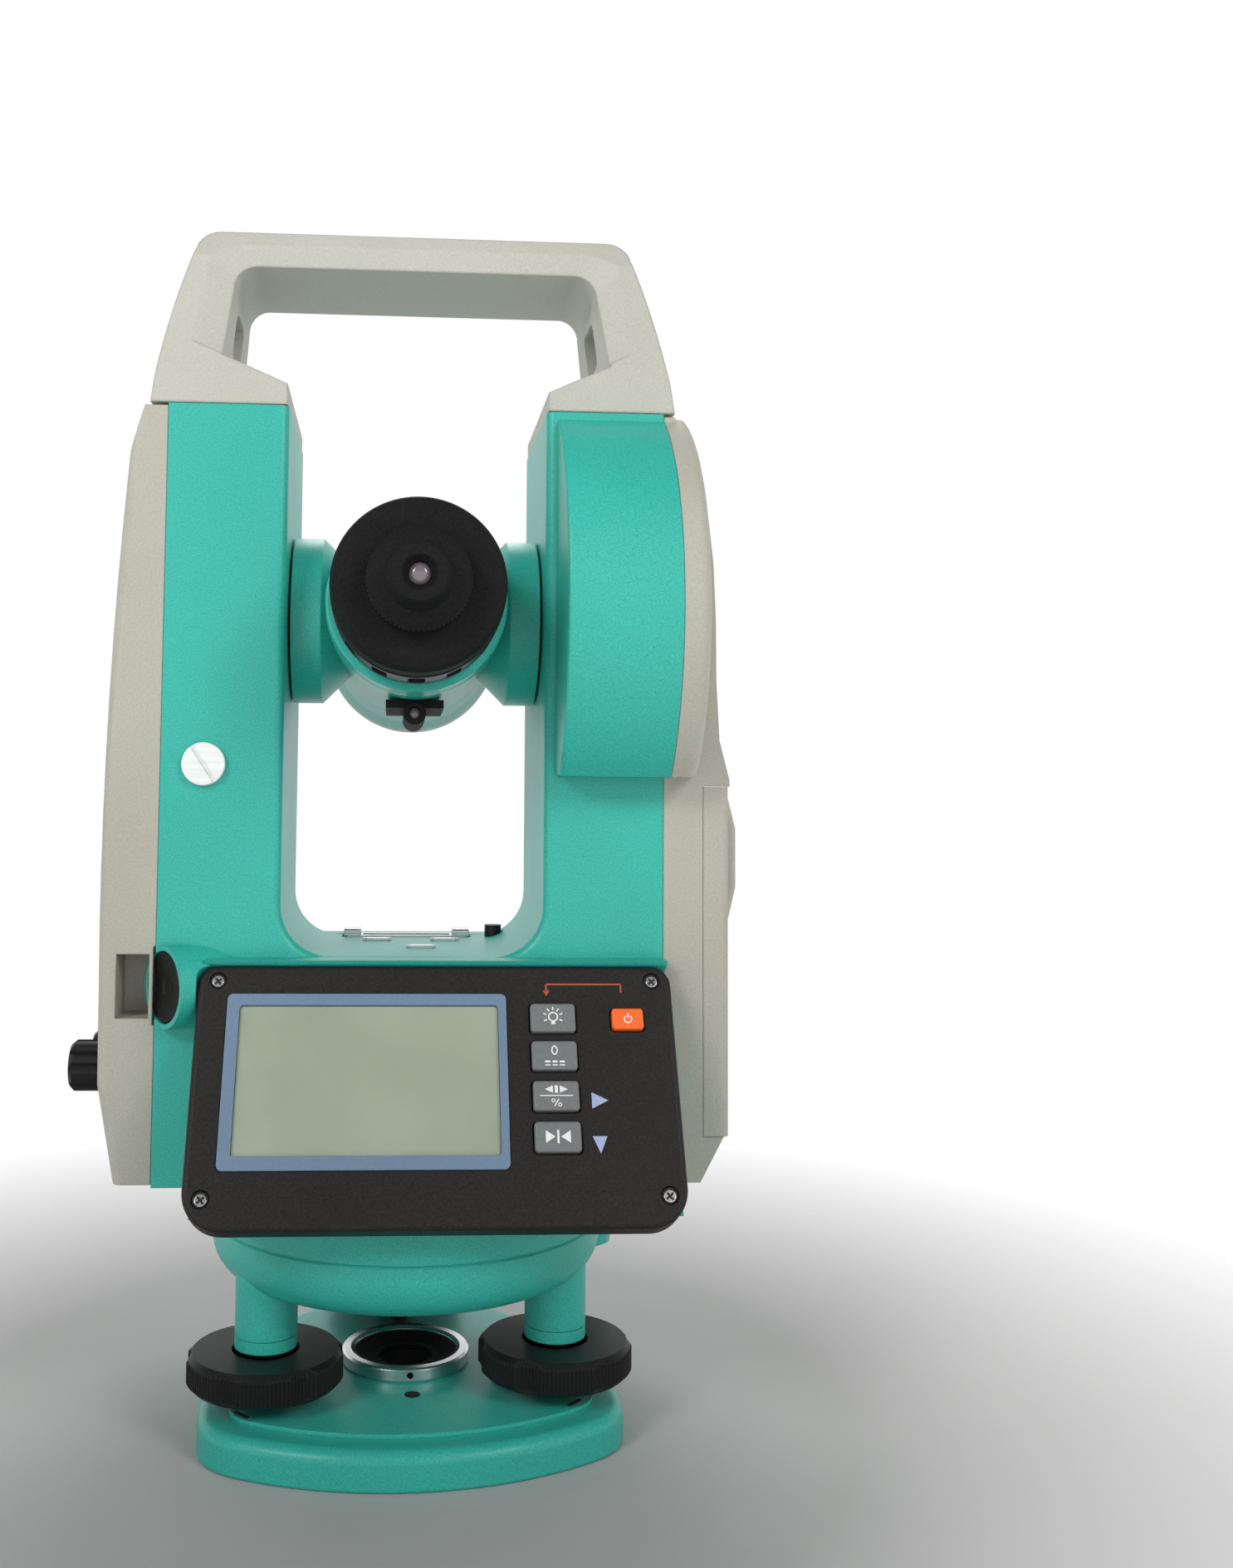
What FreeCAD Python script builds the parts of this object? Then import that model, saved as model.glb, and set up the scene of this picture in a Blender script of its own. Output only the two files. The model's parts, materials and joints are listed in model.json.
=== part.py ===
import FreeCAD, Part
import math
import os

import Sketcher

os.makedirs("parts", exist_ok=True)
doc = FreeCAD.newDocument("SurveyInstrument")

# Driving dimensions, millimetres and degrees.  +Z is up, +Y points away from the
# observer at the eyepiece, and the origin is on the vertical axis in the resting face.
TABLE = [
    ("head_turn", 3.7, "turn of base and head about the vertical axis"),
    ("base_height", 10.0, "height of the base casting"),
    ("base_corner_x", 37.6, "front corner centre, sideways"),
    ("base_corner_y", 29.0, "front corner centre, forward"),
    ("base_corner_radius", 20.2, "front corner radius"),
    ("base_front_radius", 93.4, "bowed front side radius"),
    ("base_side_radius", 98.0, "bowed left and right side radius"),
    ("base_rear_centre", 40.0, "rear corner centre"),
    ("base_rear_radius", 24.0, "rear corner radius"),
    ("base_shoulder", 3.2, "rounded shoulder of the base"),
    ("plate_inset", 8.5, "spring plate inset from the base outline"),
    ("plate_thick", 1.2, "spring plate thickness"),
    ("thread_radius", 7.2, "five-eighths tripod thread, mean radius"),
    ("insert_radius", 11.95, "threaded insert body radius"),
    ("ring_outer", 18.35, "centring ring outer radius"),
    ("ring_inner", 14.6, "centring ring bore radius"),
    ("ring_height", 3.9, "centring ring height"),
    ("foot_circle", 46.2, "foot screw pitch-circle radius"),
    ("foot_ball", 8.8, "foot screw end radius"),
    ("foot_neck", 5.2, "foot screw neck radius"),
    ("foot_shank", 4.0, "foot screw thread radius"),
    ("knob_radius", 21.0, "foot screw knob radius"),
    ("knob_low", 15.4, "foot screw knob underside"),
    ("knob_high", 24.2, "foot screw knob top"),
    ("knob_recess", 9.2, "recess radius in the knob top"),
    ("post_radius", 8.5, "tribrach post radius"),
    ("post_low", 28.3, "lower end of the posts"),
    ("collar_low", 25.0, "lower end of the post collars"),
    ("dish_low", 39.3, "underside of the tribrach dish"),
    ("dish_rim_low", 54.5, "lower edge of the dish rim"),
    ("dish_radius", 56.0, "dish rim radius"),
    ("dish_high", 67.5, "top of the dish rim"),
    ("spindle_radius", 10.0, "vertical spindle radius"),
    ("sleeve_outer", 15.0, "axis sleeve outer radius"),
    ("circle_radius", 36.0, "horizontal and vertical circle radius"),
    ("lug_circle", 65.5, "circular vial lug distance"),
    ("lug_radius", 10.5, "circular vial lug radius"),
    ("frame_half", 69.5, "half width of the alidade frame"),
    ("frame_gap", 36.2, "half gap between the standards"),
    ("frame_front", 33.0, "front face of the standards"),
    ("frame_back", 34.0, "back face of the standards"),
    ("frame_low", 69.0, "underside of the frame"),
    ("frame_high", 283.5, "top of the standards"),
    ("deck_high", 130.6, "crossbar deck height"),
    ("deck_corner", 14.0, "corner radius at the foot of the gap"),
    ("trunnion_high", 226.4, "trunnion axis height"),
    ("housing_radius", 64.0, "vertical circle housing radius"),
    ("housing_inner", 39.1, "inner side of the circle housing"),
    ("housing_low", 180.6, "lower ledge of the circle housing"),
    ("cavity_radius", 42.0, "horizontal circle chamber radius"),
    ("cavity_high", 102.0, "horizontal circle chamber ceiling"),
    ("bearing_outer", 12.0, "trunnion bearing outer radius"),
    ("shaft_radius", 8.0, "trunnion shaft radius"),
    ("plummet_high", 122.8, "optical plummet axis height"),
    ("plummet_bearing", 214.0, "plummet direction from +X"),
    ("plummet_x", 66.9, "plummet boss face, sideways"),
    ("plummet_y", 36.0, "plummet boss face, forward"),
    ("plummet_boss", 11.2, "plummet boss radius"),
    ("tangent_x", 57.7, "vertical tangent axis, sideways"),
    ("tangent_high", 183.1, "vertical tangent axis height"),
    ("side_knob_high", 95.6, "horizontal clamp and tangent height"),
    ("side_knob_gap", 19.0, "distance between the two side knobs"),
    ("panel_width", 127.0, "display panel width"),
    ("panel_height", 68.5, "display panel height"),
    ("panel_thick", 7.0, "display panel depth"),
    ("panel_tilt", 27.65, "display panel lean from vertical"),
    ("panel_x", 6.6, "display panel centre, sideways"),
    ("panel_y", 55.4, "display panel centre, forward"),
    ("panel_high", 98.85, "display panel centre height"),
    ("key_width", 12.0, "function key width"),
    ("key_height", 7.8, "function key height"),
    ("key_lift", 1.5, "key height above the panel"),
    ("key_column", 30.8, "function key column from panel centre"),
    ("cover_top_x", 76.0, "left cover top, sideways"),
    ("cover_wide_x", 85.3, "left cover widest, sideways"),
    ("cover_arc", 1480.0, "left cover side curve radius"),
    ("right_wide_x", 88.2, "right cover widest, sideways"),
    ("band_x", 77.4, "outer side of the circle housing band"),
    ("battery_x", 80.8, "inner side of the battery slab"),
    ("battery_low", 81.8, "underside of the battery slab"),
    ("battery_high", 178.1, "top of the battery slab"),
    ("handle_low", 283.7, "underside of the handle feet"),
    ("handle_high", 337.6, "top of the grip"),
    ("grip_under", 326.9, "underside of the grip"),
    ("tube_tilt", 1.87, "telescope dip at the objective"),
    ("flange_radius", 22.6, "eyepiece flange radius"),
    ("flange_face", 74.3, "eyepiece flange face from the trunnion axis"),
    ("focus_radius", 22.9, "focusing ring radius"),
    ("tube_rear", 21.0, "rear tube radius"),
    ("tube_bore", 17.0, "telescope bore radius"),
    ("objective_radius", 28.5, "objective cell radius"),
    ("objective_face", 68.6, "objective face from the trunnion axis"),
    ("hub_radius", 24.5, "trunnion hub radius"),
    ("hub_face", 35.5, "trunnion hub face"),
    ("eyepiece_radius", 13.1, "eyepiece ring radius"),
    ("eyepiece_end", 89.2, "eyepiece end from the trunnion axis"),
]


class Dim:
    """A spreadsheet dimension: its value now, and the expression that refers to it."""

    def __init__(self, value, text):
        self.value = float(value)
        self.text = text

    def join(self, other, sign, swap=False):
        other = as_dim(other)
        a, b = (other, self) if swap else (self, other)
        if sign == "+":
            value = a.value + b.value
        elif sign == "-":
            value = a.value - b.value
        elif sign == "*":
            value = a.value * b.value
        else:
            value = a.value / b.value
        return Dim(value, "(%s %s %s)" % (a.text, sign, b.text))

    def __add__(self, other):
        return self.join(other, "+")

    def __radd__(self, other):
        return self.join(other, "+", True)

    def __sub__(self, other):
        return self.join(other, "-")

    def __rsub__(self, other):
        return self.join(other, "-", True)

    def __mul__(self, other):
        return self.join(other, "*")

    def __rmul__(self, other):
        return self.join(other, "*", True)

    def __truediv__(self, other):
        return self.join(other, "/")

    def __neg__(self):
        return Dim(-self.value, "(0 - %s)" % self.text)


class Names:
    """Holds one Dim for each row of the spreadsheet."""


def as_dim(x):
    return x if isinstance(x, Dim) else Dim(x, "%.6f" % x)


def sine(angle):
    angle = as_dim(angle)
    return Dim(math.sin(math.radians(angle.value)), "sin(%s)" % angle.text)


def cosine(angle):
    angle = as_dim(angle)
    return Dim(math.cos(math.radians(angle.value)), "cos(%s)" % angle.text)


sheet = doc.addObject("Spreadsheet::Sheet", "Dims")
d = Names()
for number, (name, value, note) in enumerate(TABLE, start=1):
    sheet.set("A%d" % number, note)
    sheet.set("B%d" % number, str(value))
    sheet.setAlias("B%d" % number, name)
    setattr(d, name, Dim(value, "Dims.%s" % name))
doc.recompute()

nodes = []
V = FreeCAD.Vector


def bind(thing, prop, x):
    """Set a property and tie it to the spreadsheet."""
    x = as_dim(x)
    if "." not in prop:
        setattr(thing, prop, x.value)
    if "Dims" in x.text:
        thing.setExpression(prop, x.text)


def place(thing, x=0, y=0, z=0, axis=(0, 0, 1), angle=0, extra=None):
    """Put a piece at (x, y, z), turned by angle about axis; extra is a first turn."""
    x, y, z, angle = as_dim(x), as_dim(y), as_dim(z), as_dim(angle)
    turn = FreeCAD.Rotation(V(*axis), angle.value)
    if extra is not None:
        turn = turn.multiply(FreeCAD.Rotation(V(*extra[0]), extra[1]))
    thing.Placement = FreeCAD.Placement(V(x.value, y.value, z.value), turn)
    for key, item in (("x", x), ("y", y), ("z", z)):
        if "Dims" in item.text:
            thing.setExpression("Placement.Base." + key, item.text)
    if extra is None and "Dims" in angle.text:
        thing.setExpression("Placement.Rotation.Angle", angle.text)


def node(thing, name):
    thing.Label = name
    nodes.append(thing)
    return thing


# ---- sketches and features --------------------------------------------------------

def new_body(name):
    body = doc.addObject("PartDesign::Body", name)
    return node(body, name)


def sketch(body, plane, off=0, lift=None, turn=None):
    """A sketch on one of the body's own planes, moved along its normal by off."""
    sk = body.newObject("Sketcher::SketchObject", body.Name + "_outline")
    ground = [f for f in body.Origin.OriginFeatures if f.Role == plane][0]
    sk.AttachmentSupport = [(ground, "")]
    sk.MapMode = "FlatFace"
    off = as_dim(off)
    base = V(0, 0, off.value) if lift is None else V(*[as_dim(v).value for v in lift])
    spin = FreeCAD.Rotation() if turn is None else FreeCAD.Rotation(V(*turn[0]), turn[1])
    sk.AttachmentOffset = FreeCAD.Placement(base, spin)
    if lift is None and "Dims" in off.text:
        sk.setExpression("AttachmentOffset.Base.z", off.text)
    return sk


def pin(sk, rules, geo, pos, x, y):
    """Hold a sketch point at (x, y) from the sketch origin."""
    for kind, item, line in (("DistanceX", x, -2), ("DistanceY", y, -1)):
        item = as_dim(item)
        if abs(item.value) < 1e-9:
            rules.append((Sketcher.Constraint("PointOnObject", geo, pos, line), None))
        else:
            rule = Sketcher.Constraint(kind, -1, 1, geo, pos, item.value)
            rules.append((rule, item.text if "Dims" in item.text else None))


def settle(sk, rules):
    first = sk.ConstraintCount
    sk.addConstraint([rule for rule, text in rules])
    for number, (rule, text) in enumerate(rules):
        if text is not None:
            sk.setExpression("Constraints[%d]" % (first + number), text)


def outline(sk, points, arcs=None):
    """Closed outline through points; arcs gives (radius, side) for a leg, side +1 when
    the leg turns left."""
    arcs = arcs or {}
    start = sk.GeometryCount
    count = len(points)
    shapes = []
    ends = []
    rules = []
    for i in range(count):
        p = V(as_dim(points[i][0]).value, as_dim(points[i][1]).value, 0)
        following = points[(i + 1) % count]
        q = V(as_dim(following[0]).value, as_dim(following[1]).value, 0)
        if i not in arcs:
            shapes.append(Part.LineSegment(p, q))
            ends.append((1, 2))
            continue
        radius, side = as_dim(arcs[i][0]), arcs[i][1]
        half = (q - p).Length / 2.0
        rise = math.sqrt(max(radius.value ** 2 - half ** 2, 0.0))
        across = V(-(q - p).y, (q - p).x, 0).normalize()
        centre = (p + q) * 0.5 + across * rise * side
        first, last = (p, q) if side > 0 else (q, p)
        low = math.atan2(first.y - centre.y, first.x - centre.x)
        high = math.atan2(last.y - centre.y, last.x - centre.x)
        if high < low:
            high += 2 * math.pi
        circle = Part.Circle(centre, V(0, 0, 1), radius.value)
        shapes.append(Part.ArcOfCircle(circle, low, high))
        ends.append((1, 2) if side > 0 else (2, 1))
    sk.addGeometry(shapes, False)
    for i in range(count):
        j = (i + 1) % count
        rules.append((Sketcher.Constraint("Coincident", start + i, ends[i][1],
                                          start + j, ends[j][0]), None))
        pin(sk, rules, start + i, ends[i][0], points[i][0], points[i][1])
    for i in arcs:
        radius = as_dim(arcs[i][0])
        rule = Sketcher.Constraint("Radius", start + i, radius.value)
        rules.append((rule, radius.text if "Dims" in radius.text else None))
    settle(sk, rules)
    return sk


def block(sk, x0, x1, y0, y1, r=0):
    """Rectangle, with rounded corners when r is given."""
    if r == 0:
        return outline(sk, [(x0, y0), (x1, y0), (x1, y1), (x0, y1)])
    points = [(x0 + r, y0), (x1 - r, y0), (x1, y0 + r), (x1, y1 - r),
              (x1 - r, y1), (x0 + r, y1), (x0, y1 - r), (x0, y0 + r)]
    return outline(sk, points, {1: (r, 1), 3: (r, 1), 5: (r, 1), 7: (r, 1)})


def circles(sk, *items):
    """Full circles given as (x, y, radius)."""
    for x, y, r in items:
        geo = sk.GeometryCount
        r = as_dim(r)
        centre = V(as_dim(x).value, as_dim(y).value, 0)
        sk.addGeometry(Part.Circle(centre, V(0, 0, 1), r.value), False)
        rules = []
        pin(sk, rules, geo, 3, x, y)
        rule = Sketcher.Constraint("Radius", geo, r.value)
        rules.append((rule, r.text if "Dims" in r.text else None))
        settle(sk, rules)
    return sk


def feature(body, kind, sk, length, back=False):
    before = body.Shape.Volume if body.Shape and not body.Shape.isNull() else 0.0
    made = body.newObject("PartDesign::" + kind, body.Name + "_" + kind.lower())
    made.Profile = sk
    bind(made, "Length", length)
    made.Reversed = back
    doc.recompute()
    after = body.Shape.Volume
    grew = after > before + 1e-6
    if grew != (kind == "Pad"):
        raise ValueError("%s %s went the wrong way: %.1f to %.1f"
                         % (body.Label, kind, before, after))
    return made


def pad(body, sk, length, back=False):
    return feature(body, "Pad", sk, length, back)


def pocket(body, sk, length, back=False):
    return feature(body, "Pocket", sk, length, back)


def spin(body, sk, axis="V_Axis"):
    made = body.newObject("PartDesign::Revolution", body.Name + "_turned")
    made.Profile = sk
    made.ReferenceAxis = (sk, [axis])
    made.Angle = 360.0
    doc.recompute()
    return made


def turned(name, points, plane="XZ_Plane", axis="V_Axis", arcs=None):
    """A body of revolution from (radius, height) points."""
    body = new_body(name)
    spin(body, outline(sketch(body, plane), points, arcs), axis)
    return body


def soften(body, radius, test, kind="Fillet"):
    """Fillet or chamfer the edges that pass the test."""
    tip = body.Tip
    picked = []
    for number, edge in enumerate(tip.Shape.Edges, start=1):
        if test(edge):
            picked.append("Edge%d" % number)
    made = body.newObject("PartDesign::" + kind, body.Name + "_" + kind.lower())
    made.Base = (tip, picked)
    bind(made, "Radius" if kind == "Fillet" else "Size", radius)
    doc.recompute()
    if not made.Shape.isValid() or "Invalid" in made.State:
        raise ValueError("%s %s failed on %d edges" % (body.Label, kind, len(picked)))
    return made


def around(body, what, count):
    """Repeat a feature around the body's vertical axis."""
    made = body.newObject("PartDesign::PolarPattern", body.Name + "_around")
    made.Originals = [what]
    axis = [f for f in body.Origin.OriginFeatures if f.Role == "Z_Axis"][0]
    made.Axis = (axis, [""])
    made.Angle = 360.0
    made.Occurrences = count
    body.Tip = made
    doc.recompute()
    return made


def middle(edge):
    return edge.valueAt((edge.FirstParameter + edge.LastParameter) / 2.0)


def straight_along(edge, axis):
    if len(edge.Vertexes) != 2:
        return False
    gap = edge.Vertexes[1].Point - edge.Vertexes[0].Point
    return gap.Length > 1e-6 and abs(abs(gap.normalize().dot(V(*axis))) - 1) < 1e-6


# ---- simple solids ------------------------------------------------------------------

def rod(radius, height, at=(0, 0, 0), axis=(0, 0, 1)):
    """A cylinder starting at a point and running along axis."""
    thing = doc.addObject("Part::Cylinder", "Rod")
    bind(thing, "Radius", radius)
    bind(thing, "Height", height)
    thing.Placement.Rotation = FreeCAD.Rotation(V(0, 0, 1), V(*axis))
    spot = [as_dim(v) for v in at]
    thing.Placement.Base = V(*[v.value for v in spot])
    for key, v in zip("xyz", spot):
        if "Dims" in v.text:
            thing.setExpression("Placement.Base." + key, v.text)
    return thing


def brick(x0, x1, y0, y1, z0, z1):
    """A box between two corners."""
    thing = doc.addObject("Part::Box", "Brick")
    bind(thing, "Length", x1 - x0)
    bind(thing, "Width", y1 - y0)
    bind(thing, "Height", z1 - z0)
    thing.Placement.Base = V(*[as_dim(v).value for v in (x0, y0, z0)])
    for key, v in (("x", x0), ("y", y0), ("z", z0)):
        if isinstance(v, Dim):
            thing.setExpression("Placement.Base." + key, v.text)
    return thing


def joined(*things):
    made = doc.addObject("Part::MultiFuse", "Joined")
    made.Shapes = list(things)
    return made


def grouped(*things):
    made = doc.addObject("Part::Compound", "Grouped")
    made.Links = list(things)
    return made


def without(thing, *tools):
    for tool in tools:
        made = doc.addObject("Part::Cut", "Cut")
        made.Base = thing
        made.Tool = tool
        thing = made
    return thing


def polar(radius, angle):
    return radius * cosine(angle), radius * sine(angle)


# ======================= base ===========================================================

FEET = [210, 330, 90]
foot_spots = [polar(d.foot_circle, a) for a in FEET]


def triangle(body, inset, off=0):
    """Rounded triangle with three bowed sides; every radius shrinks by inset."""
    sk = sketch(body, "XY_Plane", off)
    cx, cy = d.base_corner_x.value, -d.base_corner_y.value
    cr = d.base_corner_radius - inset
    rr = d.base_rear_radius - inset
    fr = d.base_front_radius - inset
    ry = d.base_rear_centre.value
    sr = d.base_side_radius - inset
    reach = math.hypot(cx, ry - cy)
    along = (sr.value - cr.value) ** 2 - (sr.value - rr.value) ** 2 + reach ** 2
    along = along / 2 / reach
    off_line = math.sqrt((sr.value - cr.value) ** 2 - along ** 2)
    sx = cx - (cx * along + (ry - cy) * off_line) / reach
    sy = cy + ((ry - cy) * along - cx * off_line) / reach
    way = math.atan2(cy - sy, cx - sx)
    turn = math.atan2(ry - sy, -sx)
    drop = math.acos(cx / (fr.value - cr.value))
    fy = cy + (fr.value - cr.value) * math.sin(drop)
    low = -math.pi / 2 + (math.pi / 2 - drop)
    z = V(0, 0, 1)
    right = Part.ArcOfCircle(Part.Circle(V(cx, cy, 0), z, cr.value), low, way)
    rear = Part.ArcOfCircle(Part.Circle(V(0, ry, 0), z, rr.value), turn, math.pi - turn)
    left = Part.ArcOfCircle(Part.Circle(V(-cx, cy, 0), z, cr.value),
                            math.pi - way, math.pi * 2 - (low + math.pi))
    front = Part.ArcOfCircle(Part.Circle(V(0, fy, 0), z, fr.value),
                             math.pi * 2 - (low + math.pi), low + 2 * math.pi)
    side_a = Part.ArcOfCircle(Part.Circle(V(sx, sy, 0), z, sr.value), way, turn)
    side_b = Part.ArcOfCircle(Part.Circle(V(-sx, sy, 0), z, sr.value),
                              math.pi - turn, math.pi - way)
    sk.addGeometry([front, right, side_a, rear, side_b, left], False)
    rules = []
    for i in range(6):
        rules.append((Sketcher.Constraint("Tangent", i, 2, (i + 1) % 6, 1), None))
    pin(sk, rules, 1, 3, d.base_corner_x, -d.base_corner_y)
    pin(sk, rules, 5, 3, -d.base_corner_x, -d.base_corner_y)
    pin(sk, rules, 3, 3, 0, d.base_rear_centre)
    for geo, radius in ((0, fr), (1, cr), (2, sr), (3, rr), (4, sr), (5, cr)):
        rules.append((Sketcher.Constraint("Radius", geo, radius.value), radius.text))
    settle(sk, rules)
    return sk


base = new_body("base_plate")
pad(base, triangle(base, 0), d.base_height)
soften(base, d.base_shoulder, lambda e: abs(e.BoundBox.ZMin - 10) < 0.01)
soften(base, 1.0, lambda e: e.BoundBox.ZMax < 0.01)
sk = circles(sketch(base, "XY_Plane", d.base_height), (0, 0, d.insert_radius + 0.05))
pocket(base, sk, d.base_height)
sk = circles(sketch(base, "XY_Plane", d.base_height), (0, 0, 13.6))
pocket(base, sk, 1.0)
sk = sketch(base, "XY_Plane", d.base_height)
circles(sk, *[(x, y, d.foot_ball + 0.4) for x, y in foot_spots])
pocket(base, sk, d.base_height - 3.0)
plate_holes = [polar(30.0, a) for a in FEET]
sk = sketch(base, "XY_Plane", d.base_height)
circles(sk, (0, -26.0, 1.9), (25.0, 6.0, 1.9), *[(x, y, 1.55) for x, y in plate_holes])
pocket(base, sk, 6.0)
place(base, angle=d.head_turn)

plate = new_body("spring_plate")
pad(plate, triangle(plate, d.plate_inset, d.base_height), d.plate_thick)
sk = sketch(plate, "XY_Plane", d.base_height + d.plate_thick)
circles(sk, (0, 0, 14.0), *[(x, y, d.foot_neck + 0.5) for x, y in foot_spots])
pocket(plate, sk, d.plate_thick)
sk = sketch(plate, "XY_Plane", d.base_height + d.plate_thick)
circles(sk, *[(x, y, 1.7) for x, y in plate_holes])
pocket(plate, sk, d.plate_thick)
sk = sketch(plate, "XY_Plane", d.base_height + d.plate_thick)
circles(sk, (0, -26.0, 2.2), (25.0, 6.0, 2.2))
pocket(plate, sk, d.plate_thick)
place(plate, angle=d.head_turn)


def screw(x, y, z, head, head_high, shank, shank_long):
    """Pan-head screw standing on height z, pointing down."""
    top = rod(head, head_high, (x, y, z))
    stem = rod(shank, shank_long, (x, y, z - shank_long))
    slot = brick(x - head * 0.8, x + head * 0.8, y - 0.3, y + 0.3,
                 z + head_high * 0.5, z + head_high + 0.1)
    return without(joined(top, stem), slot)


plate_screws = grouped(*[screw(x, y, d.base_height + d.plate_thick, 2.7, 1.6, 1.5, 6.5)
                         for x, y in plate_holes])
node(plate_screws, "spring_plate_screws")
place(plate_screws, angle=d.head_turn)

insert = turned("tripod_insert", [
    (d.thread_radius, 0), (d.insert_radius, 0), (d.insert_radius, 9.05),
    (13.5, 9.05), (13.5, 11.0), (d.thread_radius, 11.0)])

ring = turned("centring_ring", [
    (d.ring_inner, 11.2), (d.ring_outer - 0.5, 11.2), (d.ring_outer, 11.7),
    (d.ring_outer, 10.7 + d.ring_height), (d.ring_outer - 0.5, 11.2 + d.ring_height),
    (d.ring_inner + 1.2, 11.2 + d.ring_height), (d.ring_inner, 10.6 + d.ring_height)])
sk = circles(sketch(ring, "XZ_Plane", d.ring_outer + 1), (0, 13.2, 0.9))
pocket(ring, sk, 5.0)
place(ring, angle=d.head_turn)

liner = turned("ring_liner", [
    (7.8, 11.25), (d.ring_inner - 0.05, 11.25), (d.ring_inner - 0.05, 14.2),
    (d.ring_inner - 0.8, 14.2), (9.6, 12.4), (7.8, 12.4)])

# ======================= foot screws ======================================================

FOOT_NAMES = ["foot_screw_left", "foot_screw_right", "foot_screw_rear"]
for foot_name, (x, y), bearing in zip(FOOT_NAMES, foot_spots, FEET):
    foot = turned(foot_name, [
        (0, 3.1), (d.foot_ball - 2, 3.1), (d.foot_ball, 5.1), (d.foot_ball, 7.4),
        (d.foot_neck, 9.4), (d.foot_neck, d.knob_low), (d.knob_radius - 1.2, d.knob_low),
        (d.knob_radius, d.knob_low + 1.2), (d.knob_radius, d.knob_high - 1.2),
        (d.knob_radius - 1.2, d.knob_high), (d.knob_recess, d.knob_high),
        (d.knob_recess, d.knob_high - 3.8), (d.foot_shank, d.knob_high - 3.8),
        (d.foot_shank, 57.0), (0, 57.0)])
    sk = circles(sketch(foot, "XY_Plane", d.knob_high + 1), (d.knob_radius + 6.8, 0, 8.0))
    around(foot, pocket(foot, sk, 12.0), 6)
    place(foot, d.foot_circle * cosine(bearing + d.head_turn),
          d.foot_circle * sine(bearing + d.head_turn), 0, angle=d.head_turn)

# ======================= tribrach head ====================================================

head = turned("tribrach_head", [
    (d.sleeve_outer + 0.02, d.dish_low), (d.dish_radius - 11.0, d.dish_low),
    (d.dish_radius, d.dish_low + 11.0), (d.dish_radius, d.dish_rim_low - 0.4),
    (d.dish_radius - 0.5, d.dish_rim_low), (d.dish_radius, d.dish_rim_low + 0.4),
    (d.dish_radius, d.dish_high - 1.5), (d.dish_radius - 1.5, d.dish_high),
    (40.0, d.dish_high), (40.0, 61.0), (24.0, 61.0),
    (24.0, 71.0), (d.sleeve_outer + 0.02, 71.0)], arcs={1: (11.0, 1)})
sk = sketch(head, "XY_Plane", d.post_low)
circles(sk, *[(x, y, d.post_radius) for x, y in foot_spots])
pad(head, sk, 33.7)
lug_x, lug_y = polar(d.lug_circle, 30)
sk = circles(sketch(head, "XY_Plane", 34.5), (lug_x, lug_y, d.lug_radius))
pad(head, sk, 22.5)
sk = sketch(head, "XY_Plane", 50.0)
side_x, side_y = 7.0 * sine(30), 7.0 * cosine(30)
near_x, near_y = polar(44.0, 30)
outline(sk, [(near_x + side_x, near_y - side_y), (lug_x + side_x, lug_y - side_y),
             (lug_x - side_x, lug_y + side_y), (near_x - side_x, near_y + side_y)])
pad(head, sk, 7.0)
sk = circles(sketch(head, "XY_Plane", 57.0), (lug_x, lug_y, 9.0))
pocket(head, sk, 10.0)
sk = sketch(head, "XY_Plane", d.post_low)
circles(sk, *[(x, y, d.foot_shank + 0.05) for x, y in foot_spots])
pocket(head, sk, 31.5, True)
place(head, angle=d.head_turn)

collars = grouped(*[without(rod(d.post_radius, 3.2, (x, y, d.collar_low)),
                            rod(d.foot_shank + 0.35, 3.2, (x, y, d.collar_low)))
                    for x, y in foot_spots])
node(collars, "post_collars")
place(collars, angle=d.head_turn)

sleeve = turned("axis_sleeve", [
    (d.spindle_radius + 0.05, 39.0), (d.sleeve_outer, 39.0), (d.sleeve_outer, 71.05),
    (20.0, 71.05), (20.0, 74.0), (14.0, 74.0), (14.0, 79.0),
    (d.spindle_radius + 0.05, 79.0)])

circle_low = turned("horizontal_circle", [
    (14.05, 74.05), (d.circle_radius, 74.05), (d.circle_radius, 76.5), (14.05, 76.5)])

cup = without(rod(8.95, 10.4, (lug_x, lug_y, 47.1)), rod(8.2, 9.0, (lug_x, lug_y, 48.6)))
node(cup, "circular_vial_cup")
place(cup, angle=d.head_turn)
bubble = turned("circular_vial_glass", [
    (0, 48.7), (8.15, 48.7), (8.15, 56.4), (7.4, 57.0), (4.0, 57.6), (0, 57.8)])
place(bubble, d.lug_circle * cosine(30 + d.head_turn),
      d.lug_circle * sine(30 + d.head_turn), 0)

# ======================= alidade frame ====================================================

def pod_profile(sign):
    """Side outline of a display pod, in front (-1) or behind (+1)."""
    def at(y):
        return sign * as_dim(y)
    face = d.frame_front - 0.5
    return [(at(face), d.frame_low), (at(63.0), d.frame_low), (at(33.25), 125.9),
            (at(39.35), 129.4), (at(40.3), d.deck_high), (at(face), d.deck_high)]


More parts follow.
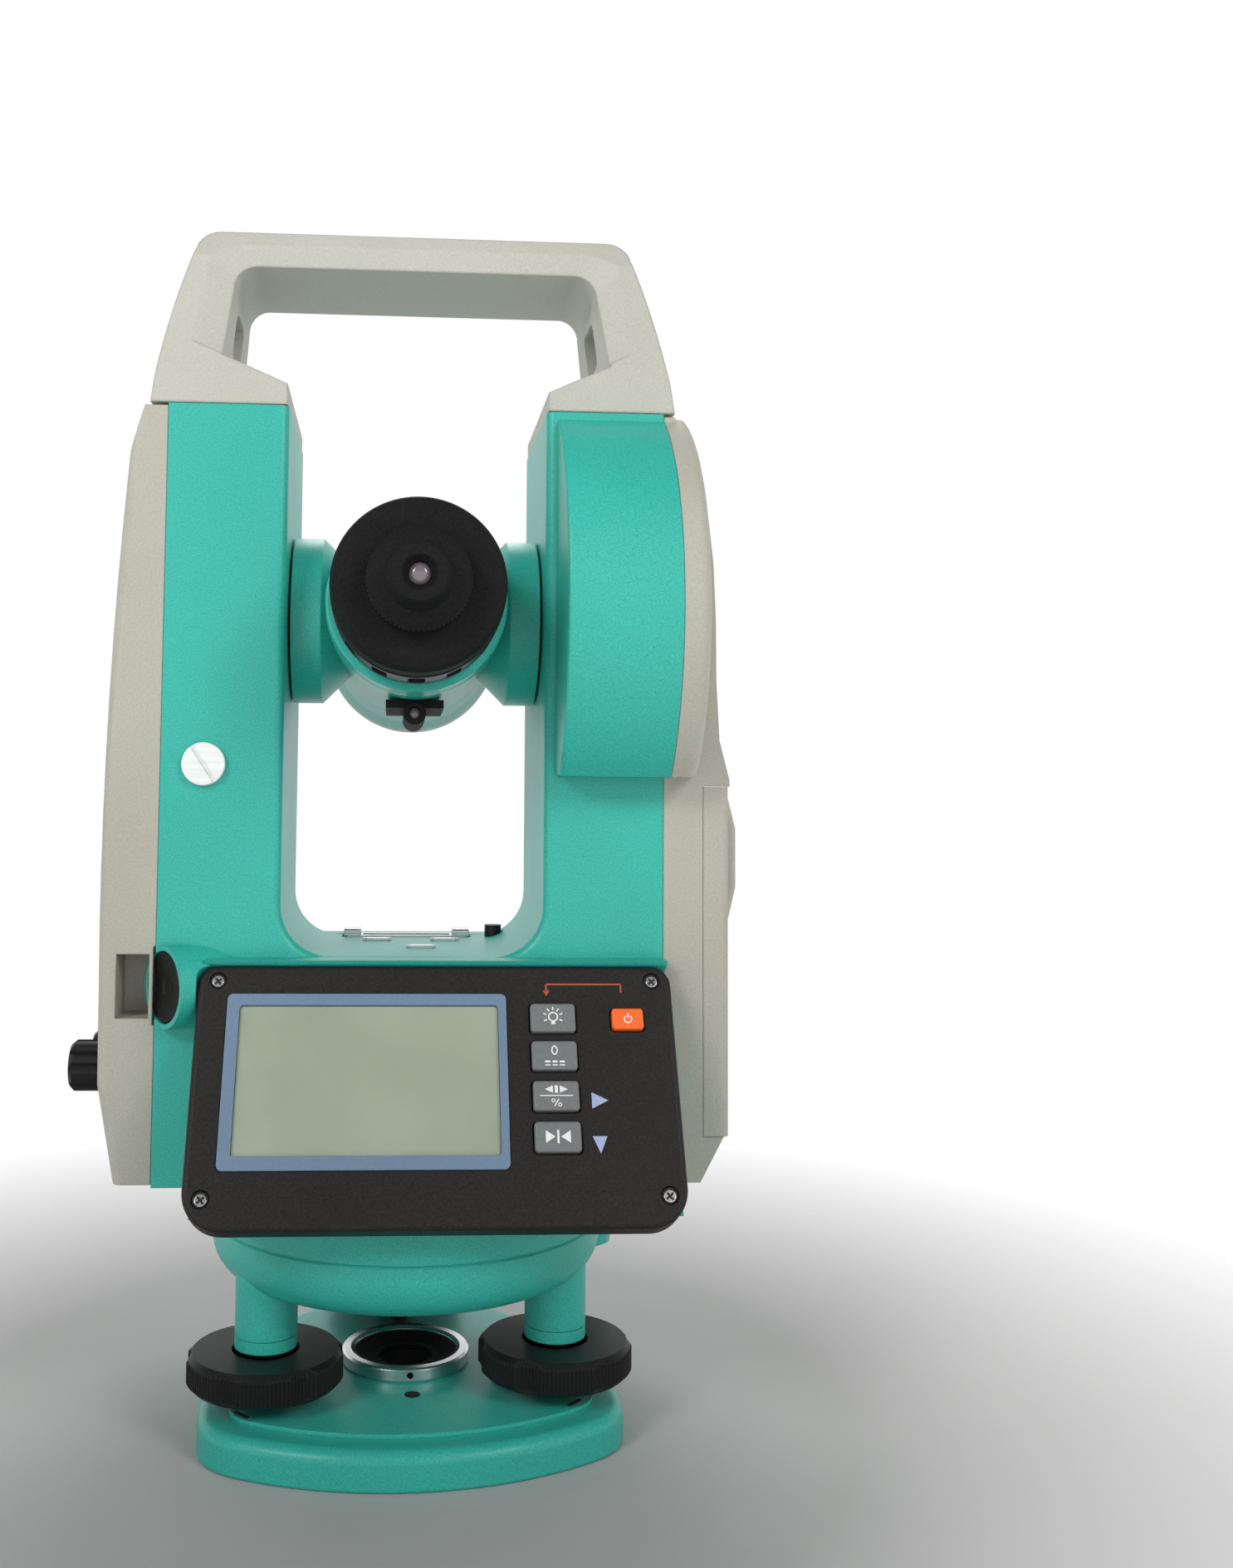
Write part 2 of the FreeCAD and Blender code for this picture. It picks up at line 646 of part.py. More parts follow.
def housing_outline(sk, grow=0):
    """Circle housing seen from the side: two arcs cut off by the ledge and the top."""
    r = d.housing_radius + grow
    low = d.trunnion_high - d.housing_low
    high = d.frame_high - d.trunnion_high
    wide_low = Dim(math.sqrt(r.value ** 2 - low.value ** 2),
                   "sqrt(%s ^ 2 - %s ^ 2)" % (r.text, low.text))
    wide_high = Dim(math.sqrt(r.value ** 2 - high.value ** 2),
                    "sqrt(%s ^ 2 - %s ^ 2)" % (r.text, high.text))
    points = [(-wide_low, d.housing_low), (wide_low, d.housing_low),
              (wide_high, d.frame_high), (-wide_high, d.frame_high)]
    return outline(sk, points, {1: (r, 1), 3: (r, 1)})


frame = new_body("alidade_frame")
sk = sketch(frame, "XZ_Plane", -d.frame_back)
outline(sk, [
    (-d.frame_half, d.frame_low), (d.frame_half, d.frame_low),
    (d.frame_half, d.frame_high), (d.frame_gap, d.frame_high),
    (d.frame_gap, d.deck_high + d.deck_corner), (d.frame_gap - d.deck_corner, d.deck_high),
    (d.deck_corner - d.frame_gap, d.deck_high), (-d.frame_gap, d.deck_high + d.deck_corner),
    (-d.frame_gap, d.frame_high), (-d.frame_half, d.frame_high)],
    {4: (d.deck_corner, -1), 6: (d.deck_corner, -1)})
pad(frame, sk, d.frame_front + d.frame_back)
soften(frame, 2.5, lambda e: abs(abs(middle(e).x) - 36.2) < 20 and middle(e).z > 130
       and abs(middle(e).x) < 36.3
       and (abs(e.BoundBox.YMax + 33) < 0.01 or abs(e.BoundBox.YMin - 34) < 0.01))
sk = outline(sketch(frame, "YZ_Plane", -55.5), pod_profile(-1))
pad(frame, sk, 125.0)
sk = outline(sketch(frame, "YZ_Plane", -d.frame_half), pod_profile(1))
pad(frame, sk, 125.0)
pad(frame, housing_outline(sketch(frame, "YZ_Plane", d.housing_inner)),
    d.frame_half - d.housing_inner)
soften(frame, 1.0, lambda e: abs(middle(e).x - 39.1) < 0.01 and abs(middle(e).y) > 36)
# boss for the optical plummet, on the left front corner
def plummet_sketch(body, out):
    """A sketch square to the plummet axis, out beyond the boss face."""
    x = -d.plummet_x + cosine(d.plummet_bearing) * out
    y = -d.plummet_y + sine(d.plummet_bearing) * out
    return sketch(body, "YZ_Plane", lift=(y, d.plummet_high, x), turn=((0, 1, 0), 214.0))


pad(frame, circles(plummet_sketch(frame, -16.0), (0, 0, d.plummet_boss)), 16.0)

# chambers
sk = block(sketch(frame, "YZ_Plane", -d.frame_half), -28.0, 29.0, 112.0, 278.0, 6.0)
pocket(frame, sk, 28.0, True)
sk = block(sketch(frame, "YZ_Plane", d.frame_half), -28.0, 29.0, 76.0, 230.0, 6.0)
pocket(frame, sk, 27.0)
sk = circles(sketch(frame, "YZ_Plane", d.frame_half), (0, d.trunnion_high, 54.0))
pocket(frame, sk, 27.0)
sk = circles(sketch(frame, "XY_Plane", d.frame_low), (0, 0, d.cavity_radius))
pocket(frame, sk, d.cavity_high - d.frame_low, True)
sk = circles(sketch(frame, "XY_Plane", 90.0), (0, 0, 6.5))
pocket(frame, sk, 38.5, True)
sk = circles(sketch(frame, "YZ_Plane", 60.0),
             (0, d.trunnion_high, d.bearing_outer + 0.05))
pocket(frame, sk, 110.0)
# display chamber, square to the leaning panel
PANEL_SCREWS = [(-58.2, 30.0), (58.2, 30.0), (-58.6, -26.6), (58.6, -26.4)]


def seat_sketch(side):
    """A sketch on the leaning seat of the front (+1) or rear (-1) panel."""
    if side > 0:
        return sketch(frame, "XZ_Plane", lift=(6.6, 95.56, 49.11), turn=((1, 0, 0), -27.65))
    return sketch(frame, "XZ_Plane", lift=(-6.6, 95.56, -50.11), turn=((1, 0, 0), -152.35))


for side in (1, -1):
    pocket(frame, block(seat_sketch(side), -57.0, 57.0, -25.0, 25.0, 4.0), 9.0)
    sk = circles(seat_sketch(side), *[(side * x, side * y, 1.4) for x, y in PANEL_SCREWS])
    pocket(frame, sk, 4.0)
sk = block(seat_sketch(1), -63.9, 63.9, -34.6, 34.4, 4.0)
pocket(frame, sk, 14.0, True)
# plummet bore: wide for the eyepiece, narrow for the light path
pocket(frame, circles(plummet_sketch(frame, 1.0), (0, 0, 9.75)), 6.0)
pocket(frame, circles(plummet_sketch(frame, 1.0), (0, 0, 5.6)), 82.0)
# tangent screw bores through the left standard, front to back
sk = circles(sketch(frame, "XZ_Plane", d.frame_front + 1),
             (-d.tangent_x, d.tangent_high, 4.5))
pocket(frame, sk, 70.0)
# horizontal clamp and tangent bores from the left side
sk = circles(sketch(frame, "YZ_Plane", -d.frame_half), (0, d.side_knob_high, 3.05),
             (d.side_knob_gap, d.side_knob_high, 3.05))
pocket(frame, sk, 20.0, True)
# seats in the deck: plate vial, adjusting screw, three plugs
sk = block(sketch(frame, "XY_Plane", 134.0), -21.0, 19.0, 22.0, 33.0, 1.5)
pocket(frame, sk, 14.6)
PLUGS = [(-10.0, 12.0), (10.4, 12.0), (2.9, -8.0)]
for px, py in PLUGS:
    sk = sketch(frame, "XY_Plane", d.deck_high)
    pocket(frame, block(sk, px - 4.35, px + 4.35, py - 1.95, py + 1.95, 1.2), 2.0)
pocket(frame, circles(sketch(frame, "XY_Plane", 137.0), (26.0, 25.0, 3.4)), 6.4)
pocket(frame, circles(sketch(frame, "XY_Plane", 137.0), (26.0, 25.0, 1.3)), 12.5)
# handle screw holes
HANDLE_SCREWS = [(sx * 44.0, sy * 22.0) for sx in (-1, 1) for sy in (-1, 1)]
sk = circles(sketch(frame, "XY_Plane", d.frame_high), *[(a, b, 2.1) for a, b in HANDLE_SCREWS])
pocket(frame, sk, 4.5)

# ======================= alidade fittings =================================================

spindle = turned("vertical_spindle", [
    (4.5, 42.0), (d.spindle_radius, 42.0), (d.spindle_radius, 92.0), (24.0, 97.0),
    (24.0, d.cavity_high - 0.05), (4.5, d.cavity_high - 0.05)])

left = new_body("left_cover")
sk = sketch(left, "XZ_Plane", -d.frame_back)
outline(sk, [
    (-d.frame_half - 0.1, 69.8), (-d.frame_half - 0.1, 282.7), (-d.cover_top_x, 282.7),
    (-80.2, 269.0), (-d.cover_wide_x, 140.0), (-84.8, 96.0), (-80.0, 69.8)],
    {3: (d.cover_arc, 1)})
pad(left, sk, d.frame_front + d.frame_back)
pocket(left, circles(plummet_sketch(left, 1.0), (0, 0, d.plummet_boss + 0.3)), 18.0)
sk = sketch(left, "XZ_Plane", d.frame_front)
pocket(left, block(sk, -80.1, -71.2, 114.0, 131.3), 14.0)
soften(left, 3.0, lambda e: middle(e).x < -80.5 and e.Length > 12 and
       (abs(e.BoundBox.YMax + 33) < 0.01 or abs(e.BoundBox.YMin - 34) < 0.01))
sk = block(sketch(left, "YZ_Plane", -d.frame_half - 0.1), -29.0, 30.0, 136.0, 262.0, 5.0)
pocket(left, sk, 7.0)
sk = block(sketch(left, "YZ_Plane", -d.frame_half - 0.1), -29.0, 30.0, 78.0, 109.0, 5.0)
pocket(left, sk, 6.0)
sk = circles(sketch(left, "YZ_Plane", -60.0), (0, d.side_knob_high, 4.2),
             (d.side_knob_gap, d.side_knob_high, 4.2))
pocket(left, sk, 40.0)

right = new_body("right_cover")
# band over the circle housing: a disc with a rounded rim, cut level at ledge and top
sk = sketch(right, "XZ_Plane", lift=(0, d.trunnion_high, 0))
outline(sk, [(d.frame_half + 0.1, 0), (d.band_x, 0), (d.band_x, d.housing_radius - 4.0),
             (d.band_x - 4.0, d.housing_radius), (d.frame_half + 0.1, d.housing_radius)],
        {2: (4.0, 1)})
spin(right, sk, "H_Axis")
for low, high in ((150.0, d.housing_low), (282.7, 300.0)):
    sk = block(sketch(right, "XZ_Plane", 70.0), 60.0, 95.0, low, high)
    pocket(right, sk, 140.0)
sk = sketch(right, "XZ_Plane", -d.frame_back)
outline(sk, [
    (d.frame_half + 0.1, 69.5), (80.0, 69.5), (d.right_wide_x, 85.0),
    (d.right_wide_x, 180.0), (85.4, 191.0), (84.5, 208.0), (84.4, 224.0), (83.7, 241.0),
    (82.1, 255.0), (79.3, 267.0), (76.6, 274.0), (72.6, 282.7), (d.frame_half + 0.1, 282.7)])
pad(right, sk, d.frame_front + d.frame_back)
sk = block(sketch(right, "XZ_Plane", d.frame_front + 1), d.battery_x - 0.1, 95.0,
           d.battery_low - 0.1, d.battery_high + 0.1)
pocket(right, sk, 70.0)
sk = block(sketch(right, "YZ_Plane", d.battery_x), -27.0, 28.0, 90.0, 172.0, 3.0)
pocket(right, sk, 10.0)
sk = circles(sketch(right, "YZ_Plane", d.frame_half + 0.1), (0, d.trunnion_high, 50.0))
pocket(right, sk, 5.0, True)

battery = new_body("battery_case")
sk = sketch(battery, "XZ_Plane", -d.frame_back)
block(sk, d.battery_x, d.right_wide_x, d.battery_low, d.battery_high)
pad(battery, sk, d.frame_front + d.frame_back)
soften(battery, 2.5, lambda e: abs(middle(e).x - 88.2) < 0.01 and abs(middle(e).y) > 32.9)
sk = block(sketch(battery, "YZ_Plane", 71.1), -26.6, 27.6, 90.4, 171.6, 2.8)
pad(battery, sk, d.battery_x - 71.1)
sk = block(sketch(battery, "YZ_Plane", 72.0), -25.4, 26.4, 92.0, 170.0, 2.0)
pocket(battery, sk, 14.5, True)

cells = grouped(*[rod(7.1, 50.0, (79.25, -24.5, 102.5 + 15.0 * i), (0, 1, 0))
                  for i in range(4)])
node(cells, "battery_cells")

latch = new_body("battery_latch")
sk = sketch(latch, "XZ_Plane", 14.0)
outline(sk, [(d.right_wide_x + 0.1, 137.0), (91.8, 137.0), (94.6, 149.0), (94.6, 166.0),
             (92.2, 175.5), (d.right_wide_x + 0.1, 175.5)])
pad(latch, sk, 28.0, True)
soften(latch, 2.0, lambda e: middle(e).x > 89.6 and abs(middle(e).y) > 13.9)

handle = new_body("handle")
sk = sketch(handle, "XZ_Plane", -d.frame_back)
outline(sk, [
    (-74.6, d.handle_low), (-36.7, d.handle_low), (-36.7, 289.6), (-55.6, 298.0),
    (-53.2, d.grip_under - 6.5), (-46.9, d.grip_under), (45.2, d.grip_under),
    (51.4, d.grip_under - 6.5), (54.6, 297.3), (36.7, 289.0), (36.7, d.handle_low),
    (72.6, d.handle_low), (61.4, 331.0), (55.0, d.handle_high), (-57.5, d.handle_high),
    (-64.2, 331.5)],
    {4: (6.6, -1), 6: (6.6, -1), 11: (260.0, 1), 12: (7.0, 1), 14: (7.0, 1), 15: (260.0, 1)})
pad(handle, sk, d.frame_front + d.frame_back)
for side in (-1, 1):
    sk = sketch(handle, "YZ_Plane", -90.0)
    points = [(side * 33.5 + 0.5, 292.0), (side * 60.0, 292.0), (side * 60.0, 350.0),
              (side * 17.0, 350.0), (side * 19.0, d.handle_high), (side * 24.0, 329.0)]
    pocket(handle, outline(sk, points), 180.0, True)
# shallow bevel all round the opening, front and back, square to the leaning faces
WIDE = [(-65.1, 2.3), (-50.0, -4.1), (49.5, -4.4), (60.9, 1.4), (58.6, 25.1), (49.7, 37.2),
        (-50.8, 37.2), (-60.5, 25.1)]
NARROW = [(-55.0, -0.8), (-50.0, -3.0), (49.5, -3.3), (54.0, -1.3), (51.0, 21.5),
          (45.0, 28.2), (-46.7, 28.2), (-52.7, 21.5)]


def mouth(side, points, radius, into):
    """Opening outline on a plane leaning with the front (+1) or rear (-1) face."""
    out = 30.95 * side - 0.5 * (1 - side) - into * side * 0.9686
    turn = -14.4 if side > 0 else -165.6
    sk = sketch(handle, "XZ_Plane", lift=(0, 300.0 - into * 0.2487, out),
                turn=((1, 0, 0), turn))
    return outline(sk, [(x, side * v) for x, v in points], {4: (radius, side),
                                                            6: (radius, side)})


for side in (1, -1):
    volume = handle.Shape.Volume
    wide = mouth(side, WIDE, 11.5, -0.5)
    narrow = mouth(side, NARROW, 6.8, 3.5)
    cut = handle.newObject("PartDesign::SubtractiveLoft", "handle_bevel")
    cut.Profile = wide
    cut.Sections = [narrow]
    cut.Ruled = True
    doc.recompute()
    if cut.Shape.isNull() or not cut.Shape.isValid() or handle.Shape.Volume > volume - 100:
        raise ValueError("handle bevel on side %d was not cut" % side)
for side in (-1, 1):
    # channel on the inner side of each leg
    sk = block(sketch(handle, "YZ_Plane", side * 48.0), -9.0, 10.0, 304.0, 317.0, 3.0)
    pocket(handle, sk, 9.0, side > 0)
sk = sketch(handle, "XY_Plane", 300.0)
pocket(handle, circles(sk, *[(a, b, 3.7) for a, b in HANDLE_SCREWS]), 13.0)
sk = sketch(handle, "XY_Plane", 300.0)
pocket(handle, circles(sk, *[(a, b, 2.3) for a, b in HANDLE_SCREWS]), 20.0)

handle_screws = grouped(*[screw(a, b, 287.0, 3.3, 2.6, 2.0, 7.8)
                          for a, b in HANDLE_SCREWS])
node(handle_screws, "handle_screws")


def on_panel(body_or_thing, back=False):
    """Stand a piece, made flat with its face at z = 0, on the leaning panel."""
    if back:
        place(body_or_thing, -d.panel_x, d.panel_y + 1.0, d.panel_high,
              axis=(0, 0, 1), angle=180, extra=((1, 0, 0), 90 - d.panel_tilt.value))
    else:
        place(body_or_thing, d.panel_x, -d.panel_y, d.panel_high,
              axis=(1, 0, 0), angle=90 - d.panel_tilt)


half_w = d.panel_width / 2
half_h = d.panel_height / 2
KEY_ROWS = [19.35, 9.15, -1.45, -11.95]
KEYS = [("key_lamp", d.key_column, KEY_ROWS[0]), ("key_zero", d.key_column, KEY_ROWS[1]),
        ("key_unit", d.key_column, KEY_ROWS[2]), ("key_hold", d.key_column, KEY_ROWS[3])]


def panel_plate(name):
    """The black plate: tight upper corners, rounder lower corners, hollow behind."""
    body = new_body(name)
    up, low = 5.0, 10.0
    sk = sketch(body, "XY_Plane", -d.panel_thick)
    outline(sk, [(low - half_w, -half_h), (half_w - low, -half_h),
                 (half_w, low - half_h), (half_w, half_h - up), (half_w - up, half_h),
                 (up - half_w, half_h), (-half_w, half_h - up), (-half_w, low - half_h)],
            {1: (low, 1), 3: (up, 1), 5: (up, 1), 7: (low, 1)})
    pad(body, sk, d.panel_thick)
    soften(body, 1.5, lambda e: e.BoundBox.ZMin > -0.01)
    sk = block(sketch(body, "XY_Plane", -d.panel_thick), 3.0 - half_w, half_w - 3.0,
               3.0 - half_h, half_h - 3.0, 8.0)
    pocket(body, sk, d.panel_thick - 3.0, True)
    sk = circles(sketch(body, "XY_Plane"), *[(x, y, 2.3) for x, y in PANEL_SCREWS])
    pocket(body, sk, 1.6)
    sk = circles(sketch(body, "XY_Plane"), *[(x, y, 1.4) for x, y in PANEL_SCREWS])
    pocket(body, sk, 9.0)
    return body


panel = panel_plate("display_panel")
sk = block(sketch(panel, "XY_Plane"), -55.4, 18.6, -19.95, 26.25, 1.5)
pocket(panel, sk, 9.0)
for key_name, kx, ky in KEYS:
    sk = sketch(panel, "XY_Plane")
    block(sk, kx - d.key_width / 2 - 0.35, kx + d.key_width / 2 + 0.35,
          ky - d.key_height / 2 - 0.35, ky + d.key_height / 2 + 0.35, 1.2)
    pocket(panel, sk, 9.0)
pocket(panel, block(sketch(panel, "XY_Plane"), 46.2, 55.4, 15.8, 22.3, 1.2), 9.0)
on_panel(panel)
rear = panel_plate("rear_cover")
on_panel(rear, True)


def panel_screw_set(back):
    made = grouped(*[screw(x, y, -1.55, 2.05, 1.2, 1.3, 8.0) for x, y in PANEL_SCREWS])
    on_panel(made, back)
    return made


node(grouped(panel_screw_set(False), panel_screw_set(True)), "panel_screws")

bezel = new_body("lcd_bezel")
pad(bezel, block(sketch(bezel, "XY_Plane", -2.4), -55.3, 18.5, -19.85, 26.15, 1.5), 2.9)
pocket(bezel, block(sketch(bezel, "XY_Plane", 0.5), -52.0, 16.3, -16.35, 23.05, 1.0), 4.0)
on_panel(bezel)
glass = new_body("lcd_glass")
pad(glass, block(sketch(glass, "XY_Plane", -2.4), -51.9, 16.2, -16.25, 22.95, 0.9), 2.0)
on_panel(glass)
board = grouped(brick(-54.0, 54.0, -23.0, 23.0, -11.0, -9.4),
                brick(-55.0, 18.0, -20.5, 26.5, -7.0, -3.1))
node(board, "main_board")
on_panel(board)

for key_name, kx, ky in KEYS + [("key_power", Dim(50.8, "50.8"), 19.05)]:
    wide = 8.5 if key_name == "key_power" else d.key_width
    tall = 5.8 if key_name == "key_power" else d.key_height
    key = new_body(key_name)
    sk = block(sketch(key, "XY_Plane", -5.0), wide * -0.5, wide * 0.5,
               tall * -0.5, tall * 0.5, 1.0)
    pad(key, sk, d.key_lift + 5.0)
    soften(key, 0.6, lambda e: e.BoundBox.ZMin > 1.49)
    tilt = 90 - d.panel_tilt
    place(key, d.panel_x + kx, ky * cosine(tilt) - d.panel_y,
          d.panel_high + ky * sine(tilt), axis=(1, 0, 0), angle=tilt)

cap = new_body("tangent_spring_cap")
sk = circles(sketch(cap, "XZ_Plane", d.frame_front - 6), (0, 0, 4.4))
pad(cap, sk, 6.2)
pad(cap, circles(sketch(cap, "XZ_Plane", d.frame_front + 0.1), (0, 0, 5.95)), 1.7)
soften(cap, 0.4, lambda e: abs(e.BoundBox.YMax + 34.8) < 0.01)
sk = sketch(cap, "XZ_Plane", lift=(0, 0, 34.8), turn=((0, 0, 1), -57))
pocket(cap, block(sk, -7.0, 7.0, -0.55, 0.55), 0.9)
place(cap, -d.tangent_x, 0, d.tangent_high)


def fluted(name, radius, long, shaft, shaft_long, flutes, depth=1.0):
    """Fluted knob along its own +Z, shaft running back from zero."""
    body = turned(name, [(0, -shaft_long), (shaft, -shaft_long), (shaft, 0),
                         (radius - 0.8, 0), (radius, 0.8), (radius, long - 1.2),
                         (radius - 1.2, long), (0, long)])
    cut = radius * 0.34
    sk = sketch(body, "XY_Plane", long + 1)
    circles(sk, (radius + cut - depth, 0, cut))
    around(body, pocket(body, sk, long - 1.0), flutes)
    return body


side_a = fluted("horizontal_tangent_knob", 7.3, 12.6, 3.0, 34.0, 8)
place(side_a, -85.25, 0, d.side_knob_high, axis=(0, 1, 0), angle=-90)
side_b = fluted("horizontal_clamp_knob", 7.3, 9.8, 3.0, 34.0, 8)
place(side_b, -85.25, d.side_knob_gap, d.side_knob_high, axis=(0, 1, 0), angle=-90)
rear_a = fluted("vertical_tangent_knob", 7.3, 11.0, 2.5, 24.0, 8)
place(rear_a, -d.tangent_x, 45.0, d.tangent_high, axis=(1, 0, 0), angle=-90)
rear_b = turned("vertical_clamp_knob", [
    (2.55, -7.0), (4.45, -7.0), (4.45, 0.0), (8.6, 0.0), (9.4, 0.8), (9.4, 8.6),
    (8.6, 9.4), (2.55, 9.4)])
sk = circles(sketch(rear_b, "XY_Plane", 10.0), (11.4, 0, 3.0))
around(rear_b, pocket(rear_b, sk, 8.5), 8)
place(rear_b, -d.tangent_x, d.frame_back + 0.6, d.tangent_high, axis=(1, 0, 0), angle=-90)

port = turned("plummet_eyepiece", [
    (0, -9.2), (4.5, -9.2), (4.5, -3.9), (9.69, -3.9), (9.69, -0.6), (9.0, 0.0),
    (7.6, -0.4), (3.0, -1.2), (2.0, -1.6), (0, -1.6)])
place(port, -d.plummet_x, -d.plummet_y, d.plummet_high,
      axis=(0, 0, 1), angle=214, extra=((0, 1, 0), 90))
prism = without(rod(5.5, 11.0, (0, 0, 116.0)), brick(0.0, 6.0, -6.0, 6.0, 122.0, 128.0))
node(prism, "plummet_prism")
place(prism, angle=34)

vial = new_body("plate_vial_housing")
pad(vial, block(sketch(vial, "XY_Plane", 119.5), -20.5, 18.5, 22.5, 32.5, 1.2), 11.5)
for low, high in ((-20.5, -15.1), (13.1, 18.5)):
    # raised ends that hold the glass
    pad(vial, block(sketch(vial, "XY_Plane", 129.0), low, high, 23.7, 31.3), 4.0)
soften(vial, 0.8, lambda e: e.BoundBox.ZMin > 132.9)
sk = circles(sketch(vial, "YZ_Plane", -17.0), (27.5, 127.0, 3.6))
pocket(vial, sk, 32.0, True)
pocket(vial, block(sketch(vial, "XY_Plane", 131.0), -14.5, 12.5, 24.6, 30.4, 1.0), 3.9)
tube = rod(3.3, 31.0, (-16.5, 27.5, 127.0), (1, 0, 0))
node(tube, "plate_vial_glass")
capstan = without(joined(rod(2.6, 3.6, (26.0, 25.0, d.deck_high + 0.1)),
                         rod(1.2, 5.5, (26.0, 25.0, d.deck_high - 5.4))),
                  rod(0.5, 6.0, (23.0, 25.0, d.deck_high + 2.2), (1, 0, 0)))
node(capstan, "vial_adjusting_screw")
plugs = []
for px, py in PLUGS:
    plug = brick(px - 4.3, px + 4.3, py - 0.9, py + 0.9, d.deck_high - 1.9, d.deck_high + 0.8)
    plug = joined(plug, brick(px - 3.2, px + 3.2, py - 1.9, py + 1.9, d.deck_high - 1.9,
                              d.deck_high + 0.8))
    plugs.append(plug)
node(grouped(*plugs), "deck_plugs")

reader_low = without(brick(28.0, 41.0, -7.0, 7.0, 70.0, d.cavity_high - 0.1),
                     brick(27.0, 37.0, -8.0, 8.0, 73.4, 77.2))
reader_low = without(reader_low, brick(27.0, 31.0, -8.0, 8.0, 69.0, 73.5))
reader_high = without(brick(43.1, 60.0, -8.0, 8.0, 187.0, 200.0),
                      brick(50.0, 54.0, -9.0, 9.0, 189.0, 201.0))
node(grouped(reader_low, reader_high), "encoder_heads")

bearings = grouped(*[without(rod(d.bearing_outer, 5.6, (x, 0, d.trunnion_high), (1, 0, 0)),
                             rod(d.shaft_radius + 0.05, 5.6, (x, 0, d.trunnion_high),
                                 (1, 0, 0))) for x in (-42.0, 36.4)])
node(bearings, "trunnion_bearings")

# ======================= telescope ========================================================


def on_trunnion(thing, slide=0):
    """Telescope pieces are made about the trunnion axis, looking along +Y."""
    place(thing, 0, 0, d.trunnion_high, axis=(1, 0, 0), angle=-d.tube_tilt)


def lathe(name, points):
    """Body of revolution about the optical axis from (radius, along) points."""
    body = turned(name, points, "XY_Plane", "V_Axis")
    on_trunnion(body)
    return body


tube_body = lathe("telescope_body", [
    (d.tube_bore, -66.0), (d.tube_rear, -66.0), (d.tube_rear, -43.6), (24.2, -43.6),
    (24.8, -43.0), (24.8, -36.0), (25.2, -33.0), (25.2, 30.0), (26.6, 46.0),
    (d.objective_radius, 56.0), (d.objective_radius, 58.0), (26.0, 58.0), (26.0, 52.0),
    (22.0, 44.0), (22.0, 20.0), (d.tube_bore, 14.0)])
for side in (1, -1):
    sk = sketch(tube_body, "XY_Plane")
    outline(sk, [(side * 14.0, 0), (side * 17.5, d.hub_radius - 9.5),
                 (side * 27.0, d.hub_radius), (side * d.hub_face, d.hub_radius),
                 (side * d.hub_face, 0)])
    spin(tube_body, sk, "H_Axis")
sk = circles(sketch(tube_body, "XZ_Plane", 40.0), (0, 0, d.tube_bore))
pocket(tube_body, sk, 60.0)
sk = circles(sketch(tube_body, "YZ_Plane", d.hub_face), (0, 0, d.shaft_radius + 0.02))
pocket(tube_body, sk, 16.0)
sk = circles(sketch(tube_body, "YZ_Plane", -d.hub_face), (0, 0, d.shaft_radius + 0.02))
pocket(tube_body, sk, 16.0, True)

lathe("objective_cell", [
    (22.0, 52.5), (25.9, 52.5), (25.9, 58.1), (d.objective_radius, 58.1),
    (d.objective_radius, d.objective_face - 1.5), (d.objective_radius - 1.5,
                                                   d.objective_face),
    (24.0, d.objective_face), (22.6, 66.0), (22.6, 62.5), (22.0, 62.5)])
lathe("objective_lens", [
    (0, 56.0), (21.7, 58.6), (21.7, 62.6), (22.5, 62.6), (22.5, 64.6), (0, 66.8)])
lathe("focusing_ring", [
    (d.tube_rear + 0.05, -62.0), (d.focus_radius - 1.0, -62.0), (d.focus_radius, -61.0),
    (d.focus_radius, -46.0), (d.focus_radius - 1.0, -44.6), (d.tube_rear + 0.05, -44.6)])
ring_body = nodes[-1]
sk = block(sketch(ring_body, "XY_Plane", d.focus_radius + 1), -2.2, 2.2, -59.0, -48.0, 1.0)
around_axis = pocket(ring_body, sk, 2.0)
made = ring_body.newObject("PartDesign::PolarPattern", "focus_notches")
made.Originals = [around_axis]
made.Axis = ([f for f in ring_body.Origin.OriginFeatures if f.Role == "Y_Axis"][0], [""])
made.Angle = 360.0
made.Occurrences = 14
ring_body.Tip = made
lathe("focusing_lens", [
    (0, -14.0), (12.0, -14.0), (12.0, -18.0), (d.tube_bore - 0.05, -18.0),
    (d.tube_bore - 0.05, -2.0), (12.0, -2.0), (12.0, -12.0), (0, -11.0)])
lathe("reticle_cell", [
    (0, -40.0), (12.0, -40.0), (12.0, -43.0), (d.tube_bore - 0.04, -43.0),
    (d.tube_bore - 0.04, -37.0), (12.0, -37.0), (12.0, -38.5), (0, -38.5)])
lathe("eyepiece_flange", [
    (9.05, -d.flange_face), (d.flange_radius - 3.0, -d.flange_face),
    (d.flange_radius - 0.8, 0.9 - d.flange_face), (d.flange_radius, 3.4 - d.flange_face),
    (d.flange_radius, -62.6), (d.tube_rear + 0.02, -62.6), (d.tube_rear + 0.02, -66.1),
    (9.05, -66.1)])
lathe("eyepiece", [
    (0, -60.0), (9.0, -60.0), (9.0, -0.5 - d.flange_face), (d.eyepiece_radius - 0.8,
                                                            -0.5 - d.flange_face),
    (d.eyepiece_radius, -1.2 - d.flange_face), (d.eyepiece_radius, -80.0),
    (d.eyepiece_radius - 1.6, -81.2), (8.6, -82.4), (7.6, -88.4),
    (7.0, -d.eyepiece_end), (4.4, -d.eyepiece_end), (2.8, -86.4), (0, -86.4)])

